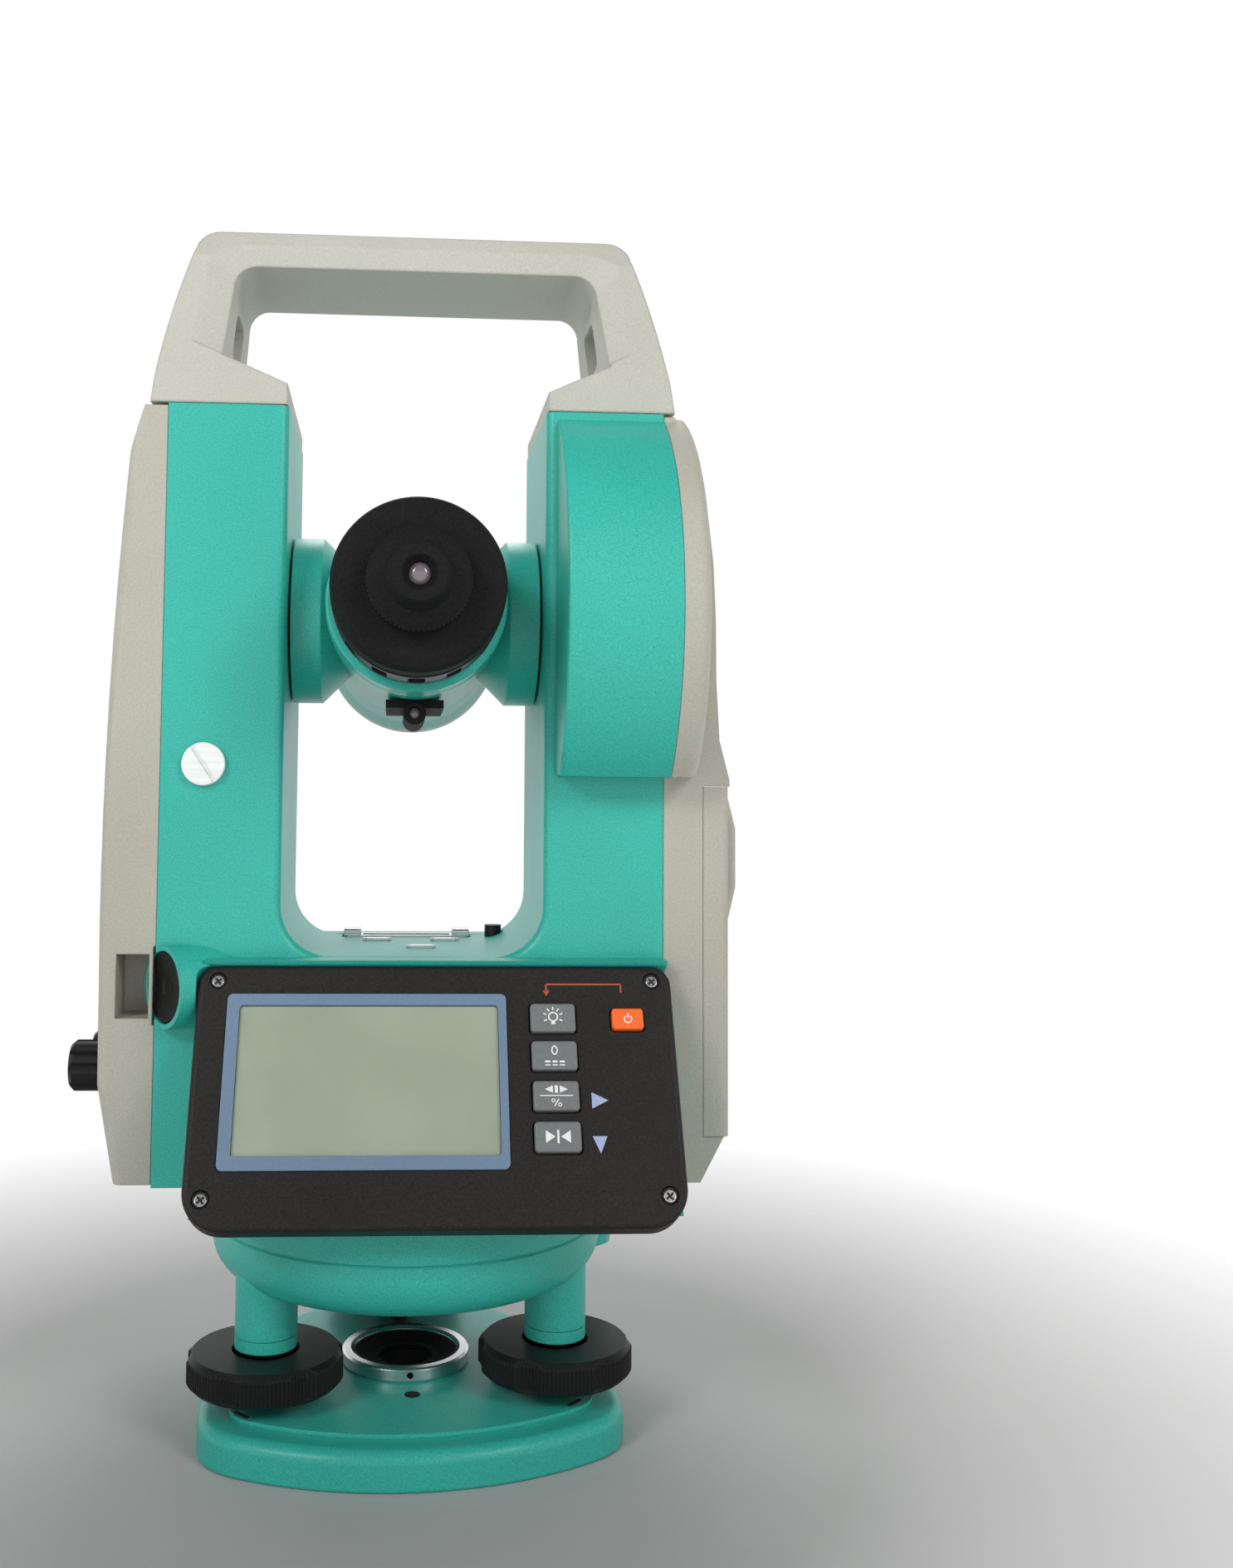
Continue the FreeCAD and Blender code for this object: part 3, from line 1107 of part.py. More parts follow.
sights = []
for side in (-1, 1):
    foot_plate = brick(-8.2, 8.2, -24.0, 6.0, 25.3 if side > 0 else -27.6,
                       27.6 if side > 0 else -25.3)
    tower = brick(-2.4, 2.4, -24.0, 4.0, 26.0 if side > 0 else -29.0,
                  29.0 if side > 0 else -26.0)
    barrel = rod(3.2, 30.0, (0, -25.0, side * 29.2), (0, 1, 0))
    hollow = rod(1.9, 34.0, (0, -27.0, side * 29.2), (0, 1, 0))
    sights.append(without(joined(foot_plate, tower, barrel), hollow))
node(grouped(*sights), "collimator_sights")
on_trunnion(nodes[-1])

shafts = grouped(rod(d.shaft_radius, 38.0, (20.0, 0, 0), (1, 0, 0)),
                 rod(d.shaft_radius, 36.0, (-20.0, 0, 0), (-1, 0, 0)))
node(shafts, "trunnion_shafts")
on_trunnion(shafts)
disc = without(joined(rod(d.circle_radius, 2.0, (51.0, 0, 0), (1, 0, 0)),
                      rod(14.0, 9.0, (47.0, 0, 0), (1, 0, 0))),
               rod(d.shaft_radius + 0.02, 12.0, (46.0, 0, 0), (1, 0, 0)))
node(disc, "vertical_circle")
on_trunnion(disc)
arm = without(joined(rod(14.0, 6.0, (-54.0, 0, d.trunnion_high), (1, 0, 0)),
                     brick(-54.0, -49.0, -4.0, 4.0, d.tangent_high + 6.0,
                           d.trunnion_high - 6.0)),
              rod(d.shaft_radius + 0.4, 8.0, (-55.0, 0, d.trunnion_high), (1, 0, 0)))
node(arm, "clamp_arm")

# ======================= checks and files =================================================

doc.recompute()
for thing in doc.Objects:
    if "Invalid" in thing.State or "Error" in thing.State:
        raise ValueError("%s failed: %s" % (thing.Label, thing.State))
for thing in nodes:
    if thing.Shape.isNull() or not thing.Shape.isValid() or not thing.Shape.Solids:
        raise ValueError("%s has no sound shape" % thing.Label)
for thing in nodes:
    thing.Shape.exportStep("parts/%s.step" % thing.Label)
print("%d sub-parts written" % len(nodes))
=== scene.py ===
import json
import math

import bmesh
import bpy
from mathutils import Matrix, Vector


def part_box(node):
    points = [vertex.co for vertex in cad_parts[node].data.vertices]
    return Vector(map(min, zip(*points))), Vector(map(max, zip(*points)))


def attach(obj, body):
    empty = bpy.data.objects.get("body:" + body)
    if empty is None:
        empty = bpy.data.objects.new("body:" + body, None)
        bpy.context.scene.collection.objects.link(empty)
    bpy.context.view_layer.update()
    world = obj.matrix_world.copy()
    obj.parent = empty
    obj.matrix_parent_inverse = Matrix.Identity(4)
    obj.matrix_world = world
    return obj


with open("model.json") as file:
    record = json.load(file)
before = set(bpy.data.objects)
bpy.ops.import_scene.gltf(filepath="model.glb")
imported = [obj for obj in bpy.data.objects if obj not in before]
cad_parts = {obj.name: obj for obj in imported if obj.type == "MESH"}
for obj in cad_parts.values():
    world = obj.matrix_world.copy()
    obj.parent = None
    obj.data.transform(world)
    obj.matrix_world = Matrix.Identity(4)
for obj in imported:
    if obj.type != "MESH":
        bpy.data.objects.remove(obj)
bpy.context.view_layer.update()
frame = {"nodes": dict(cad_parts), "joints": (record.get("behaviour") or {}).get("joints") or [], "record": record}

MM = 0.001
scene = bpy.context.scene
scene.view_settings.view_transform = "Standard"
scene.view_settings.look = "None"


# ---- materials ------------------------------------------------------------------------

def new_material(name):
    mat = bpy.data.materials.new(name)
    mat.use_nodes = True
    return mat, mat.node_tree, mat.node_tree.nodes["Principled BSDF"]


def add(tree, kind, **values):
    """Adds a shader node and sets its options."""
    made = tree.nodes.new(kind)
    for key, value in values.items():
        setattr(made, key, value)
    return made


def noise(tree, scale, detail=3.0, stretch=None):
    """Noise in object coordinates; scale is in grains per metre."""
    where = add(tree, "ShaderNodeTexCoord")
    out = where.outputs["Object"]
    if stretch:
        mapping = add(tree, "ShaderNodeMapping")
        mapping.inputs["Scale"].default_value = stretch
        tree.links.new(out, mapping.inputs["Vector"])
        out = mapping.outputs["Vector"]
    made = add(tree, "ShaderNodeTexNoise")
    made.inputs["Scale"].default_value = scale
    made.inputs["Detail"].default_value = detail
    tree.links.new(out, made.inputs["Vector"])
    return made.outputs["Fac"]


def ramp(tree, source, low, high, a, b):
    """Maps source between two positions to two values or colours."""
    made = add(tree, "ShaderNodeValToRGB")
    made.color_ramp.elements[0].position = low
    made.color_ramp.elements[1].position = high
    made.color_ramp.elements[0].color = a
    made.color_ramp.elements[1].color = b
    tree.links.new(source, made.inputs["Fac"])
    return made.outputs["Color"]


def mix(tree, a, b, fac, mode="MIX"):
    """Mixes two colours; each input is a value or the output of another node."""
    made = add(tree, "ShaderNodeMix", data_type="RGBA", blend_type=mode)
    for socket, item in ((6, a), (7, b), (0, fac)):
        if isinstance(item, (int, float, tuple)):
            made.inputs[socket].default_value = item
        else:
            tree.links.new(item, made.inputs[socket])
    return made.outputs[2]


def shade(color, k):
    """The colour times k, as an opaque colour."""
    return (color[0] * k, color[1] * k, color[2] * k, 1.0)


def surface(name, color, rough, grain=900.0, speckle=0.12, bump=0.15, depth=0.00006,
            metal=0.0, bevel=0.0005, coat=0.0, spread=0.06, stretch=None, specular=0.5,
            wear=0.0):
    """Painted, moulded or turned surface: speckle, slow colour drift, grain and soft edges."""
    mat, tree, bsdf = new_material(name)
    fine = noise(tree, grain, 2.0, stretch)
    slow = noise(tree, 14.0, 3.0)
    tint = ramp(tree, fine, 0.30, 0.70, shade(color, 1 - speckle), shade(color, 1 + speckle))
    drift = ramp(tree, slow, 0.30, 0.70, shade((1, 1, 1), 1 - spread),
                 shade((1, 1, 1), 1 + spread))
    colour = mix(tree, tint, drift, 1.0, "MULTIPLY")
    if wear > 0:
        rub = noise(tree, 60.0, 6.0)
        rub = ramp(tree, rub, 0.62, 0.75, (0, 0, 0, 1), (wear, wear, wear, 1))
        colour = mix(tree, colour, shade(color, 1.6), rub)
    tree.links.new(colour, bsdf.inputs["Base Color"])
    gloss = ramp(tree, slow, 0.3, 0.7, shade((1, 1, 1), rough * 0.88),
                 shade((1, 1, 1), min(1.0, rough * 1.12)))
    tree.links.new(gloss, bsdf.inputs["Roughness"])
    bsdf.inputs["Metallic"].default_value = metal
    bsdf.inputs["Specular IOR Level"].default_value = specular
    if coat > 0:
        bsdf.inputs["Coat Weight"].default_value = coat
        bsdf.inputs["Coat Roughness"].default_value = 0.2
    made = add(tree, "ShaderNodeBump")
    made.inputs["Strength"].default_value = bump
    made.inputs["Distance"].default_value = depth
    tree.links.new(fine, made.inputs["Height"])
    if bevel > 0:
        soft = add(tree, "ShaderNodeBevel")
        soft.samples = 4
        soft.inputs["Radius"].default_value = bevel
        tree.links.new(soft.outputs["Normal"], made.inputs["Normal"])
    tree.links.new(made.outputs["Normal"], bsdf.inputs["Normal"])
    return mat


def glassy(name, color, rough=0.05, transmission=0.0, coat=1.0, grain=60.0):
    """Glass, liquid or display film with faint streaks in it."""
    mat, tree, bsdf = new_material(name)
    streak = noise(tree, grain, 4.0)
    tint = ramp(tree, streak, 0.35, 0.65, shade(color, 0.93), shade(color, 1.05))
    tree.links.new(tint, bsdf.inputs["Base Color"])
    gloss = ramp(tree, streak, 0.3, 0.7, shade((1, 1, 1), rough * 0.7),
                 shade((1, 1, 1), rough * 1.3))
    tree.links.new(gloss, bsdf.inputs["Roughness"])
    bsdf.inputs["Transmission Weight"].default_value = transmission
    bsdf.inputs["Coat Weight"].default_value = coat
    bsdf.inputs["Coat Roughness"].default_value = 0.03
    return mat


TEAL = (0.032, 0.405, 0.335)
green_paint = surface("green_speckled_paint", TEAL, 0.40, grain=2300.0, speckle=0.17,
                      bump=0.35, depth=0.00004, bevel=0.0005, coat=0.08, specular=0.35)
cover_plastic = surface("cover_plastic", (0.405, 0.398, 0.335), 0.55, grain=1700.0,
                        speckle=0.08, bump=0.6, depth=0.00006, bevel=0.0006,
                        specular=0.35)
handle_plastic = surface("handle_plastic", (0.455, 0.452, 0.395), 0.52, grain=1700.0,
                         speckle=0.07, bump=0.6, depth=0.00006, bevel=0.0012,
                         specular=0.35)
panel_black = surface("panel_black", (0.021, 0.019, 0.018), 0.46, grain=1900.0,
                      speckle=0.30, bump=0.5, depth=0.00004, bevel=0.0005, specular=0.15)
knob_black = surface("knob_black", (0.009, 0.010, 0.009), 0.42, grain=1500.0,
                     speckle=0.25, bump=0.4, depth=0.00005, bevel=0.0004, wear=0.2,
                     specular=0.22)
black_metal = surface("black_metal", (0.011, 0.012, 0.011), 0.34, grain=900.0,
                      speckle=0.2, bump=0.2, bevel=0.0003, specular=0.3)
matt_black = surface("matt_black", (0.010, 0.010, 0.010), 0.72, grain=1500.0, speckle=0.25,
                     bump=0.4, depth=0.00005, bevel=0.0003, specular=0.10)
silver = surface("turned_silver", (0.72, 0.72, 0.73), 0.24, grain=500.0, speckle=0.06,
                 bump=0.12, depth=0.00004, metal=1.0, bevel=0.0003,
                 stretch=(0.15, 0.15, 4.0))
satin_cap = surface("satin_cap", (0.80, 0.83, 0.82), 0.36, grain=500.0, speckle=0.06,
                    bump=0.15, depth=0.00004, metal=0.25, bevel=0.0003,
                    stretch=(0.15, 0.15, 4.0))
steel = surface("steel", (0.50, 0.50, 0.51), 0.34, grain=700.0, speckle=0.08, metal=1.0,
                bump=0.12, bevel=0.0002)
brass = surface("brass", (0.60, 0.43, 0.18), 0.30, grain=500.0, speckle=0.08, metal=1.0,
                bump=0.1, bevel=0.0002, stretch=(0.2, 0.2, 3.0))
bezel_blue = surface("bezel_blue", (0.140, 0.215, 0.315), 0.45, grain=1200.0,
                     speckle=0.05, bump=0.2, bevel=0.0002)
key_grey = surface("key_grey", (0.160, 0.168, 0.172), 0.48, grain=1400.0, speckle=0.08,
                   bump=0.25, bevel=0.0003)
key_orange = surface("key_orange", (0.930, 0.140, 0.015), 0.42, grain=1400.0,
                     speckle=0.05, bump=0.2, bevel=0.0003)
board_green = surface("solder_mask", (0.02, 0.12, 0.05), 0.35, grain=300.0, bevel=0)
cell_wrap = surface("cell_wrap", (0.05, 0.12, 0.30), 0.3, grain=200.0, bevel=0)
mark_white = surface("mark_white", (0.80, 0.80, 0.78), 0.5, grain=900.0, speckle=0.04,
                     bump=0.05, bevel=0)
mark_blue = surface("mark_blue", (0.36, 0.42, 0.62), 0.5, grain=900.0, speckle=0.04,
                    bump=0.05, bevel=0)
mark_red = surface("mark_red", (0.40, 0.075, 0.035), 0.5, grain=900.0, speckle=0.05,
                   bump=0.05, bevel=0)
# near black used as painted shade: it darkens holes, recesses and screws that lie in shade
painted_hole_shade = surface("painted_recess_shade", (0.006, 0.006, 0.006), 0.7, grain=900.0, bump=0.1,
                    bevel=0)
lcd_film = glassy("lcd_film", (0.325, 0.372, 0.285), rough=0.35, coat=0.25, grain=25.0)
clear_glass = glassy("clear_glass", (0.85, 0.92, 0.90), rough=0.03, transmission=0.9)
objective_glass = glassy("coated_lens", (0.05, 0.04, 0.10), rough=0.04)
pupil_glass = glassy("pupil_lens", (0.16, 0.135, 0.15), rough=0.12, coat=0.8)
vial_glass = glassy("vial_liquid", (0.62, 0.80, 0.30), rough=0.05, transmission=0.6)

FINISH = {
    "green_paint": green_paint, "grey_plastic": cover_plastic,
    "handle_plastic": handle_plastic, "black_plastic": panel_black,
    "black_metal": black_metal, "silver": silver, "steel": steel, "brass": brass,
    "bezel_blue": bezel_blue, "lcd": lcd_film, "clear_glass": clear_glass,
    "lens": objective_glass, "vial_liquid": vial_glass, "board_green": board_green,
    "key_grey": key_grey, "key_orange": key_orange, "cell_wrap": cell_wrap,
}
KNOBS = ["foot_screw_left", "foot_screw_right", "foot_screw_rear", "focusing_ring",
         "horizontal_tangent_knob", "horizontal_clamp_knob", "vertical_tangent_knob",
         "vertical_clamp_knob", "plummet_eyepiece"]
# nodes whose finish differs from the one their slot stands for
# the tripod insert and the spring-plate screws get near black as painted shade, not their metal colour
SPECIAL = {"tangent_spring_cap": satin_cap, "tripod_insert": painted_hole_shade,
           "collimator_sights": matt_black, "eyepiece": matt_black,
           "eyepiece_flange": matt_black, "ring_liner": matt_black,
           "spring_plate_screws": painted_hole_shade}
slot_of = {part["node"]: part["material_slot"] for part in frame["record"]["subparts"]}
for name, node in frame["nodes"].items():
    finish = SPECIAL.get(name, knob_black if name in KNOBS else FINISH[slot_of[name]])
    if not node.material_slots:
        node.data.materials.append(finish)
    for item in node.material_slots:
        item.material = finish


# ---- mesh helpers -----------------------------------------------------------------------

def piece(name, bm, mat, body, place=None, smooth=False):
    """Turns a bmesh into a piece that rides on a CAD body."""
    if place is not None:
        bm.transform(place)
    bmesh.ops.recalc_face_normals(bm, faces=bm.faces)
    mesh = bpy.data.meshes.new(name)
    bm.to_mesh(mesh)
    bm.free()
    if smooth:
        for face in mesh.polygons:
            face.use_smooth = True
    obj = bpy.data.objects.new(name, mesh)
    scene.collection.objects.link(obj)
    obj.data.materials.append(mat)
    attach(obj, body)
    return obj


def prism(bm, points, low, high):
    """Adds a closed prism over a flat outline, in millimetres."""
    bottom = [bm.verts.new((x * MM, y * MM, low * MM)) for x, y in points]
    top = [bm.verts.new((x * MM, y * MM, high * MM)) for x, y in points]
    bm.faces.new(list(reversed(bottom)))
    bm.faces.new(top)
    count = len(points)
    for i in range(count):
        j = (i + 1) % count
        bm.faces.new((bottom[i], bottom[j], top[j], top[i]))


def hoop(bm, cx, cy, rx, ry, width, low, high, start=0.0, stop=360.0, steps=36):
    """Adds a ring, or part of one, as a closed band."""
    closed = stop - start >= 360.0
    rows = []
    for i in range(steps if closed else steps + 1):
        a = math.radians(start + (stop - start) * i / steps)
        c, s = math.cos(a), math.sin(a)
        row = []
        for k, z in ((0, low), (0, high), (1, high), (1, low)):
            grow = width * k
            row.append(bm.verts.new(((cx + (rx - grow) * c) * MM,
                                     (cy + (ry - grow) * s) * MM, z * MM)))
        rows.append(row)
    spans = len(rows) if closed else len(rows) - 1
    for i in range(spans):
        a, b = rows[i], rows[(i + 1) % len(rows)]
        for k in range(4):
            bm.faces.new((a[k], a[(k + 1) % 4], b[(k + 1) % 4], b[k]))
    if not closed:
        bm.faces.new(rows[0])
        bm.faces.new(list(reversed(rows[-1])))


def bar(cx, cy, w, h, turn=0.0):
    """Corners of a flat bar, turned in degrees."""
    c, s = math.cos(math.radians(turn)), math.sin(math.radians(turn))
    out = []
    for x, y in ((-w / 2, -h / 2), (w / 2, -h / 2), (w / 2, h / 2), (-w / 2, h / 2)):
        out.append((cx + x * c - y * s, cy + x * s + y * c))
    return out


def lathe(bm, profile, steps=64):
    """Adds a closed turned solid about Z from (radius, height) points in millimetres."""
    rings = []
    for r, z in profile:
        if r < 1e-6:
            rings.append([bm.verts.new((0, 0, z * MM))])
            continue
        rings.append([bm.verts.new((r * MM * math.cos(2 * math.pi * i / steps),
                                    r * MM * math.sin(2 * math.pi * i / steps), z * MM))
                      for i in range(steps)])
    for low, high in zip(rings, rings[1:]):
        for i in range(steps):
            j = (i + 1) % steps
            if len(low) == 1:
                bm.faces.new((low[0], high[i], high[j]))
            elif len(high) == 1:
                bm.faces.new((low[i], low[j], high[0]))
            else:
                bm.faces.new((low[i], low[j], high[j], high[i]))


def knurl(bm, radius, low, high, teeth, depth, inner, dips=0, reach=0.0, hollow=1.0):
    """Adds a band of fine ridges; dips are round finger hollows centred at reach."""
    rows = []
    count = teeth * 4
    for i in range(count):
        a = 2 * math.pi * i / count
        tooth = (0.0, 0.85, 1.0, 0.15)[i % 4]
        edge = radius
        if dips:
            near = ((a * dips / (2 * math.pi) + 0.5) % 1.0 - 0.5) * 2 * math.pi / dips
            room = hollow ** 2 - (reach * math.sin(near)) ** 2
            if room > 0:
                edge = min(radius, reach * math.cos(near) - math.sqrt(room))
        r = edge + depth * tooth
        c, s = math.cos(a) * MM, math.sin(a) * MM
        row = []
        for rr, z in ((inner, low), (r - depth, low), (r, low + depth),
                      (r, high - depth), (r - depth, high), (inner, high)):
            row.append(bm.verts.new((rr * c, rr * s, z * MM)))
        rows.append(row)
    for i in range(count):
        a, b = rows[i], rows[(i + 1) % count]
        for k in range(6):
            bm.faces.new((a[k], b[k], b[(k + 1) % 6], a[(k + 1) % 6]))


def centre(node):
    """Middle of a CAD node's box."""
    low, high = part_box(node)
    return (low + high) * 0.5


joints = {joint["name"]: joint for joint in frame["joints"]}

# ---- display panel marks -------------------------------------------------------------------

inward = Vector(joints["lamp_press"]["axis"]).normalized()
out = -inward
right = Vector((1, 0, 0))
up = out.cross(right)
mid = centre("display_panel")
KEY_RISE = 1.9
face = centre("key_lamp") + out * KEY_RISE * MM
mid += out * (face - mid).dot(out)
PANEL = Matrix((
    (right.x, up.x, out.x, mid.x),
    (right.y, up.y, out.y, mid.y),
    (right.z, up.z, out.z, mid.z),
    (0, 0, 0, 1)))
to_panel = PANEL.inverted()
# heights above the panel of symbols on keys and of marks printed on the panel
KEY_TOP = (1.44, 1.56)
PRINT = (-0.05, 0.06)


def key_spot(node):
    """Where a key's centre is on the panel, in millimetres."""
    spot = to_panel @ centre(node)
    return spot.x / MM, spot.y / MM


def legend(name, node, body, draw):
    """A white symbol on a key, riding on the key's body."""
    bm = bmesh.new()
    x, y = key_spot(node)
    draw(bm, x, y)
    return piece(name, bm, mark_white, body, PANEL)


def draw_lamp(bm, x, y):
    hoop(bm, x, y + 0.2, 1.35, 1.35, 0.36, *KEY_TOP)
    prism(bm, bar(x, y - 1.5, 1.1, 0.7), *KEY_TOP)
    for angle in (-25, 20, 55, 90, 125, 160, 205):
        a = math.radians(angle)
        prism(bm, bar(x + 2.25 * math.cos(a), y + 0.2 + 2.25 * math.sin(a), 0.85, 0.34,
                      angle), *KEY_TOP)


def draw_zero(bm, x, y):
    hoop(bm, x, y + 1.35, 0.85, 1.25, 0.34, *KEY_TOP)
    for dx in (-1.9, 0.0, 1.9):
        prism(bm, bar(x + dx, y - 1.7, 1.35, 0.5), *KEY_TOP)
        prism(bm, bar(x + dx, y - 2.6, 1.35, 0.3), *KEY_TOP)


def draw_unit(bm, x, y):
    prism(bm, [(x - 0.9, y + 0.7), (x - 0.9, y + 2.6), (x - 3.0, y + 1.65)][::-1], *KEY_TOP)
    prism(bm, [(x + 0.9, y + 0.7), (x + 3.0, y + 1.65), (x + 0.9, y + 2.6)], *KEY_TOP)
    prism(bm, bar(x, y + 1.65, 0.8, 1.9), *KEY_TOP)
    prism(bm, bar(x, y, 8.6, 0.26), *KEY_TOP)
    prism(bm, bar(x, y - 1.8, 0.28, 2.2, -32), *KEY_TOP)
    hoop(bm, x - 0.85, y - 1.25, 0.5, 0.5, 0.22, *KEY_TOP, steps=20)
    hoop(bm, x + 0.85, y - 2.35, 0.5, 0.5, 0.22, *KEY_TOP, steps=20)


def draw_hold(bm, x, y):
    prism(bm, [(x - 3.2, y - 1.6), (x - 0.75, y), (x - 3.2, y + 1.6)], *KEY_TOP)
    prism(bm, [(x + 3.2, y - 1.6), (x + 3.2, y + 1.6), (x + 0.75, y)], *KEY_TOP)
    prism(bm, bar(x, y, 0.55, 3.4), *KEY_TOP)


def draw_power(bm, x, y):
    hoop(bm, x, y - 0.1, 1.15, 1.15, 0.3, *KEY_TOP, start=125.0, stop=415.0, steps=30)
    prism(bm, bar(x, y + 0.8, 0.32, 1.3), *KEY_TOP)


legend("mark_lamp", "key_lamp", "lamp_button", draw_lamp)
legend("mark_zero", "key_zero", "zero_button", draw_zero)
legend("mark_unit", "key_unit", "unit_button", draw_unit)
legend("mark_hold", "key_hold", "hold_button", draw_hold)
legend("mark_power", "key_power", "power_button", draw_power)

# bracket that joins the lamp key to the power key
LINE_GAP = 9.7
lamp_x, lamp_y = key_spot("key_lamp")
power_x = key_spot("key_power")[0]
line_y = lamp_y + LINE_GAP
bm = bmesh.new()
prism(bm, bar((lamp_x + power_x) / 2 - 1.2, line_y, power_x - lamp_x + 0.4, 0.45), *PRINT)
prism(bm, bar(lamp_x - 1.4, line_y - 1.1, 0.45, 1.9), *PRINT)
prism(bm, [(lamp_x - 2.3, line_y - 1.7), (lamp_x - 1.4, line_y - 3.3),
           (lamp_x - 0.5, line_y - 1.7)], *PRINT)
prism(bm, bar(power_x - 1.2, line_y - 1.1, 0.45, 2.4), *PRINT)
piece("mark_bracket", bm, mark_red, "alidade", PANEL)

# arrows beside the two lower keys
unit_x, unit_y = key_spot("key_unit")
hold_x, hold_y = key_spot("key_hold")
bm = bmesh.new()
prism(bm, [(unit_x + 9.3, unit_y - 3.0), (unit_x + 13.6, unit_y - 0.9),
           (unit_x + 9.3, unit_y + 1.2)], *PRINT)
prism(bm, [(hold_x + 9.0, hold_y + 0.4), (hold_x + 10.9, hold_y - 4.0),
           (hold_x + 12.8, hold_y + 0.4)], *PRINT)
piece("mark_arrows", bm, mark_blue, "alidade", PANEL)

# heads of the panel screws, sunk below the face, with black crosses on them as painted shade of the cross recesses
SCREWS = ((-58.2, 30.0), (58.2, 30.0), (-58.6, -26.6), (58.6, -26.4))
SCREW_R = 1.55
SCREW_FLOOR = -0.6
CROSS_LONG, CROSS_WIDE, CROSS_TURN = 2.3, 0.55, 40
bm = bmesh.new()
for x, y in SCREWS:
    hoop(bm, x, y, SCREW_R, SCREW_R, SCREW_R - 0.01, SCREW_FLOOR, -0.34, steps=28)
piece("panel_screw_heads", bm, silver, "alidade", PANEL)
# black crosses: painted shade of the cross recesses
bm = bmesh.new()
for x, y in SCREWS:
    prism(bm, bar(x, y, CROSS_LONG, CROSS_WIDE, CROSS_TURN), SCREW_FLOOR, -0.32)
    prism(bm, bar(x, y, CROSS_WIDE, CROSS_LONG, CROSS_TURN), SCREW_FLOOR, -0.325)
piece("panel_screw_crosses", bm, painted_hole_shade, "alidade", PANEL)

# ---- knobs -----------------------------------------------------------------------------------

# fine knurl on the rims of the foot screws; the hollows follow the six scallops
foot = Vector(joints["foot_rear_turn"]["pos_m"])
TURN = math.atan2(foot.y, foot.x) - math.pi / 2
for side in ("left", "right", "rear"):
    body = "foot_" + side
    spot = Vector(joints[body + "_turn"]["pos_m"])
    bm = bmesh.new()
    knurl(bm, radius=21.02, low=16.6, high=23.0, teeth=120, depth=0.38, inner=19.0,
          dips=6, reach=27.8, hollow=8.0)
    piece("foot_knurl_" + side, bm, knob_black, body,
          Matrix.Translation((spot.x, spot.y, 0)) @ Matrix.Rotation(TURN, 4, "Z"))

# eyepiece knurl and the small lenses, placed along the telescope's optical axis
axis = Vector(joints["focus_turn"]["axis"])
pivot = Vector(joints["focus_turn"]["pos_m"])
OPTIC = Matrix.Translation(pivot) @ axis.to_track_quat("Z", "Y").to_matrix().to_4x4()
bm = bmesh.new()
knurl(bm, radius=13.1, low=-79.4, high=-75.9, teeth=66, depth=0.25, inner=12.0)
piece("eyepiece_knurl", bm, knob_black, "eyepiece_tube", OPTIC)
bm = bmesh.new()
lathe(bm, [(0, -87.3), (1.4, -87.2), (2.75, -86.7), (2.75, -86.3), (0, -86.3)], 40)
piece("eyepiece_pupil", bm, pupil_glass, "eyepiece_tube", OPTIC, True)
SIGHT_LIFT = 29.2
for sign, name in ((1, "sight_lens_upper"), (-1, "sight_lens_lower")):
    bm = bmesh.new()
    lathe(bm, [(0, -23.4), (1.2, -23.3), (1.85, -22.9), (1.85, -21.0), (0, -21.0)], 32)
    up_axis = OPTIC.to_3x3() @ Vector((0, 1, 0))
    lift = up_axis * (SIGHT_LIFT * MM * sign * (1 if up_axis.z > 0 else -1))
    piece(name, bm, pupil_glass, "telescope", Matrix.Translation(lift) @ OPTIC, True)

# black rings beside the trunnion hubs
HUB_FACE = 35.62
SHIM_IN, SHIM_OUT, SHIM_THICK = 19.0, 21.9, 0.45
ACROSS = Matrix.Translation(pivot) @ Matrix.Rotation(math.pi / 2, 4, "Y")
for sign, name in ((1, "right"), (-1, "left")):
    bm = bmesh.new()
    face = HUB_FACE * sign
    back = face + SHIM_THICK * sign
    lathe(bm, [(SHIM_IN, face), (SHIM_OUT, face), (SHIM_OUT, back), (SHIM_IN, back),
               (SHIM_IN, face)], 96)
    bmesh.ops.remove_doubles(bm, verts=bm.verts, dist=1e-6)
    piece("hub_shim_" + name, bm, black_metal, "alidade", ACROSS)

# black marks as painted shade of the blind slots and holes of the spring plate: two slots in front, two guessed at
# the rear
SLOT_FLOOR = 9.9
FRONT_SLOT_TOP, REAR_SLOT_TOP = 11.26, 10.06
HOLE_R, HOLE_FLOOR, HOLE_TOP = 2.15, 10.3, 11.22
bm = bmesh.new()
for x, y, w, h, turn in ((-43.5, -37.5, 5.5, 1.2, -48), (45.5, -33.0, 5.5, 1.2, 48),
                         (-28.5, 38.0, 5.5, 1.1, 61), (26.5, 39.0, 5.5, 1.1, -58)):
    prism(bm, bar(x, y, w, h, turn), SLOT_FLOOR, FRONT_SLOT_TOP if y < 0 else REAR_SLOT_TOP)
piece("plate_slots", bm, painted_hole_shade, "base")
# black discs: painted shade of the holes
bm = bmesh.new()
for x, y in ((0.0, -26.0), (25.0, 6.0)):
    rim = [(x + HOLE_R * math.cos(i * math.pi / 16), y + HOLE_R * math.sin(i * math.pi / 16))
           for i in range(32)]
    prism(bm, rim, HOLE_FLOOR, HOLE_TOP)
piece("plate_holes", bm, painted_hole_shade, "base", Matrix.Rotation(TURN, 4, "Z"))

# ---- room, light and camera ----------------------------------------------------------------------

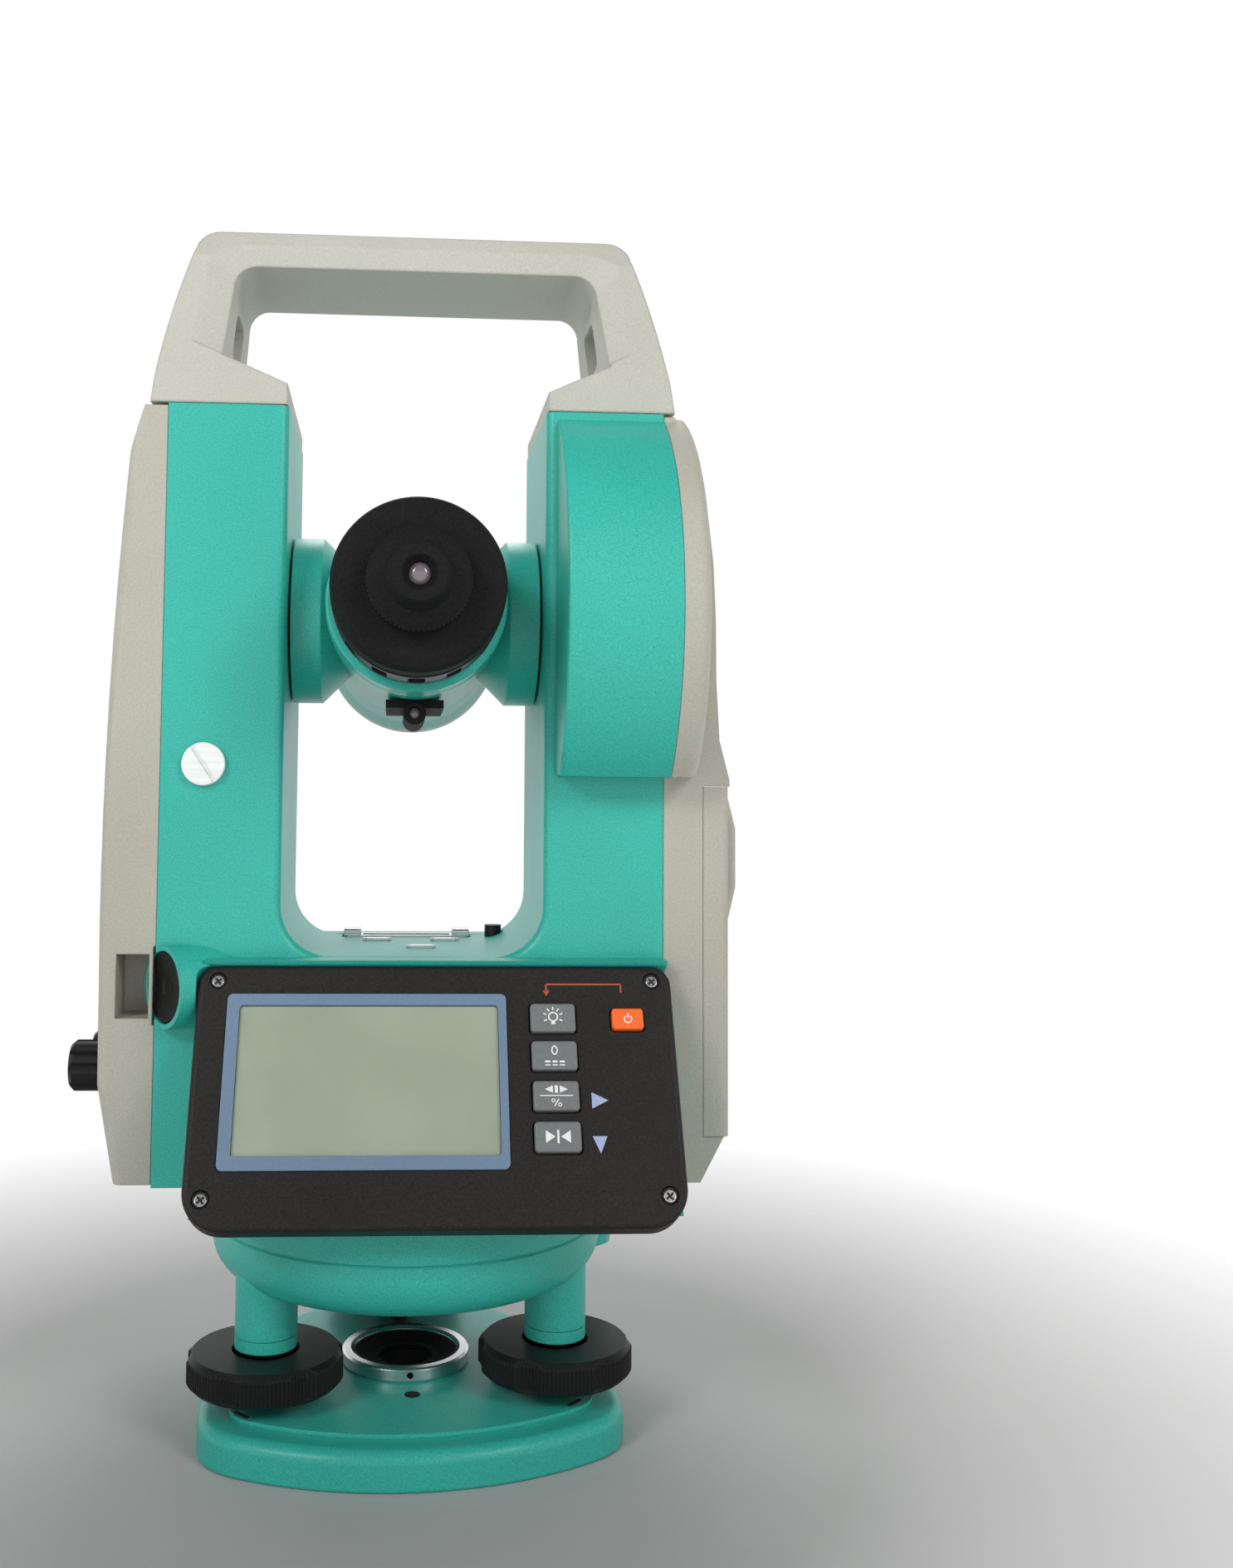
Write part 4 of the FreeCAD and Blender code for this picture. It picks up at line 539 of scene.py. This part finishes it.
# a floor that curves up into a back wall, in metres
FRONT_EDGE, HALF_WIDTH, SWEEP, SWEEP_STEPS, WALL_STEPS = -3.0, 3.5, 1.2, 22, 2
outline = [(FRONT_EDGE, 0.0)]
for i in range(SWEEP_STEPS + 1):
    a = math.radians(90.0 * i / SWEEP_STEPS)
    outline.append((SWEEP + SWEEP * math.sin(a), SWEEP - SWEEP * math.cos(a)))
outline += [(2 * SWEEP, SWEEP + i * SWEEP) for i in range(1, WALL_STEPS + 1)]
bm = bmesh.new()
rows = [[bm.verts.new((x, y, z)) for x in (-HALF_WIDTH, HALF_WIDTH)] for y, z in outline]
for a, b in zip(rows, rows[1:]):
    bm.faces.new((a[0], a[1], b[1], b[0]))
mesh = bpy.data.meshes.new("floor")
bm.to_mesh(mesh)
bm.free()
for face in mesh.polygons:
    face.use_smooth = True
floor = bpy.data.objects.new("floor", mesh)
scene.collection.objects.link(floor)

# studio paper: pale grey around the instrument, with a white glow further away from it
GLOW_FROM, GLOW_FULL = 0.13, 0.34
paper = surface("pale_floor", (0.46, 0.46, 0.455), 0.8, grain=40.0, speckle=0.01,
                bump=0.02, bevel=0, spread=0.01)
tree = paper.node_tree
glow = add(tree, "ShaderNodeEmission")
glow.inputs["Color"].default_value = (1, 1, 1, 1)
glow.inputs["Strength"].default_value = 1.0
where = add(tree, "ShaderNodeTexCoord")
reach = add(tree, "ShaderNodeVectorMath", operation="LENGTH")
tree.links.new(where.outputs["Object"], reach.inputs[0])
share = ramp(tree, reach.outputs["Value"], GLOW_FROM, GLOW_FULL, (0, 0, 0, 1),
             (1, 1, 1, 1))
both = add(tree, "ShaderNodeMixShader")
bsdf = [node for node in tree.nodes if node.type == "BSDF_PRINCIPLED"][0]
exit_node = [node for node in tree.nodes if node.type == "OUTPUT_MATERIAL"][0]
tree.links.new(share, both.inputs[0])
tree.links.new(bsdf.outputs[0], both.inputs[1])
tree.links.new(glow.outputs[0], both.inputs[2])
tree.links.new(both.outputs[0], exit_node.inputs["Surface"])
floor.data.materials.append(paper)


def lamp(name, at, aim, size, power, spread=180.0):
    """A round soft light at one point, turned towards another."""
    data = bpy.data.lights.new(name, "AREA")
    data.spread = math.radians(spread)
    data.shape = "DISK"
    data.size = size
    data.energy = power
    obj = bpy.data.objects.new(name, data)
    scene.collection.objects.link(obj)
    obj.location = at
    obj.rotation_euler = (Vector(aim) - Vector(at)).to_track_quat("-Z", "Y").to_euler()


HANDLE_AIM = (0.0, -0.05, 0.33)
lamp("left_light", (-0.66, -0.82, 0.80), HANDLE_AIM, 0.5, 0.75, 56.0)
lamp("right_light", (0.66, -0.86, 0.80), HANDLE_AIM, 0.5, 0.62, 56.0)
lamp("top_light", (0.05, 0.75, 1.0), (0, 0, 0.2), 0.7, 4.5)

# white near the horizon, grey above
world = bpy.data.worlds.new("world")
world.use_nodes = True
sky = world.node_tree.nodes["Background"]
sky.inputs["Strength"].default_value = 1.0
where = add(world.node_tree, "ShaderNodeTexCoord")
apart = add(world.node_tree, "ShaderNodeSeparateXYZ")
world.node_tree.links.new(where.outputs["Generated"], apart.inputs[0])
dome = ramp(world.node_tree, apart.outputs["Z"], 0.24, 0.42, (1, 1, 1, 1),
            (0.16, 0.16, 0.16, 1))
world.node_tree.links.new(dome, sky.inputs["Color"])
scene.world = world

# the camera looks slightly up, close to the instrument; the shift frames it off centre
YAW, PITCH, ROLL = math.radians(3.51), math.radians(3.70), math.radians(0.55)
SENSOR, LENS = 36.0, 34.38
SHIFT = (0.0831, -0.0617)
NEAR = 0.02
ahead = Vector((math.sin(YAW) * math.cos(PITCH), math.cos(YAW) * math.cos(PITCH),
                math.sin(PITCH)))
flat = Vector((math.cos(YAW), -math.sin(YAW), 0))
over = flat.cross(ahead)
side = flat * math.cos(ROLL) + over * math.sin(ROLL)
over = over * math.cos(ROLL) - flat * math.sin(ROLL)
cam_data = bpy.data.cameras.new("camera")
cam_data.sensor_width = SENSOR
cam_data.lens = LENS
cam_data.shift_x, cam_data.shift_y = SHIFT
cam_data.clip_start = NEAR
camera = bpy.data.objects.new("camera", cam_data)
scene.collection.objects.link(camera)
spot = Vector((-0.0058, -0.4483, 0.1783))
camera.matrix_world = Matrix((
    (side.x, over.x, -ahead.x, spot.x),
    (side.y, over.y, -ahead.y, spot.y),
    (side.z, over.z, -ahead.z, spot.z),
    (0, 0, 0, 1)))
scene.camera = camera
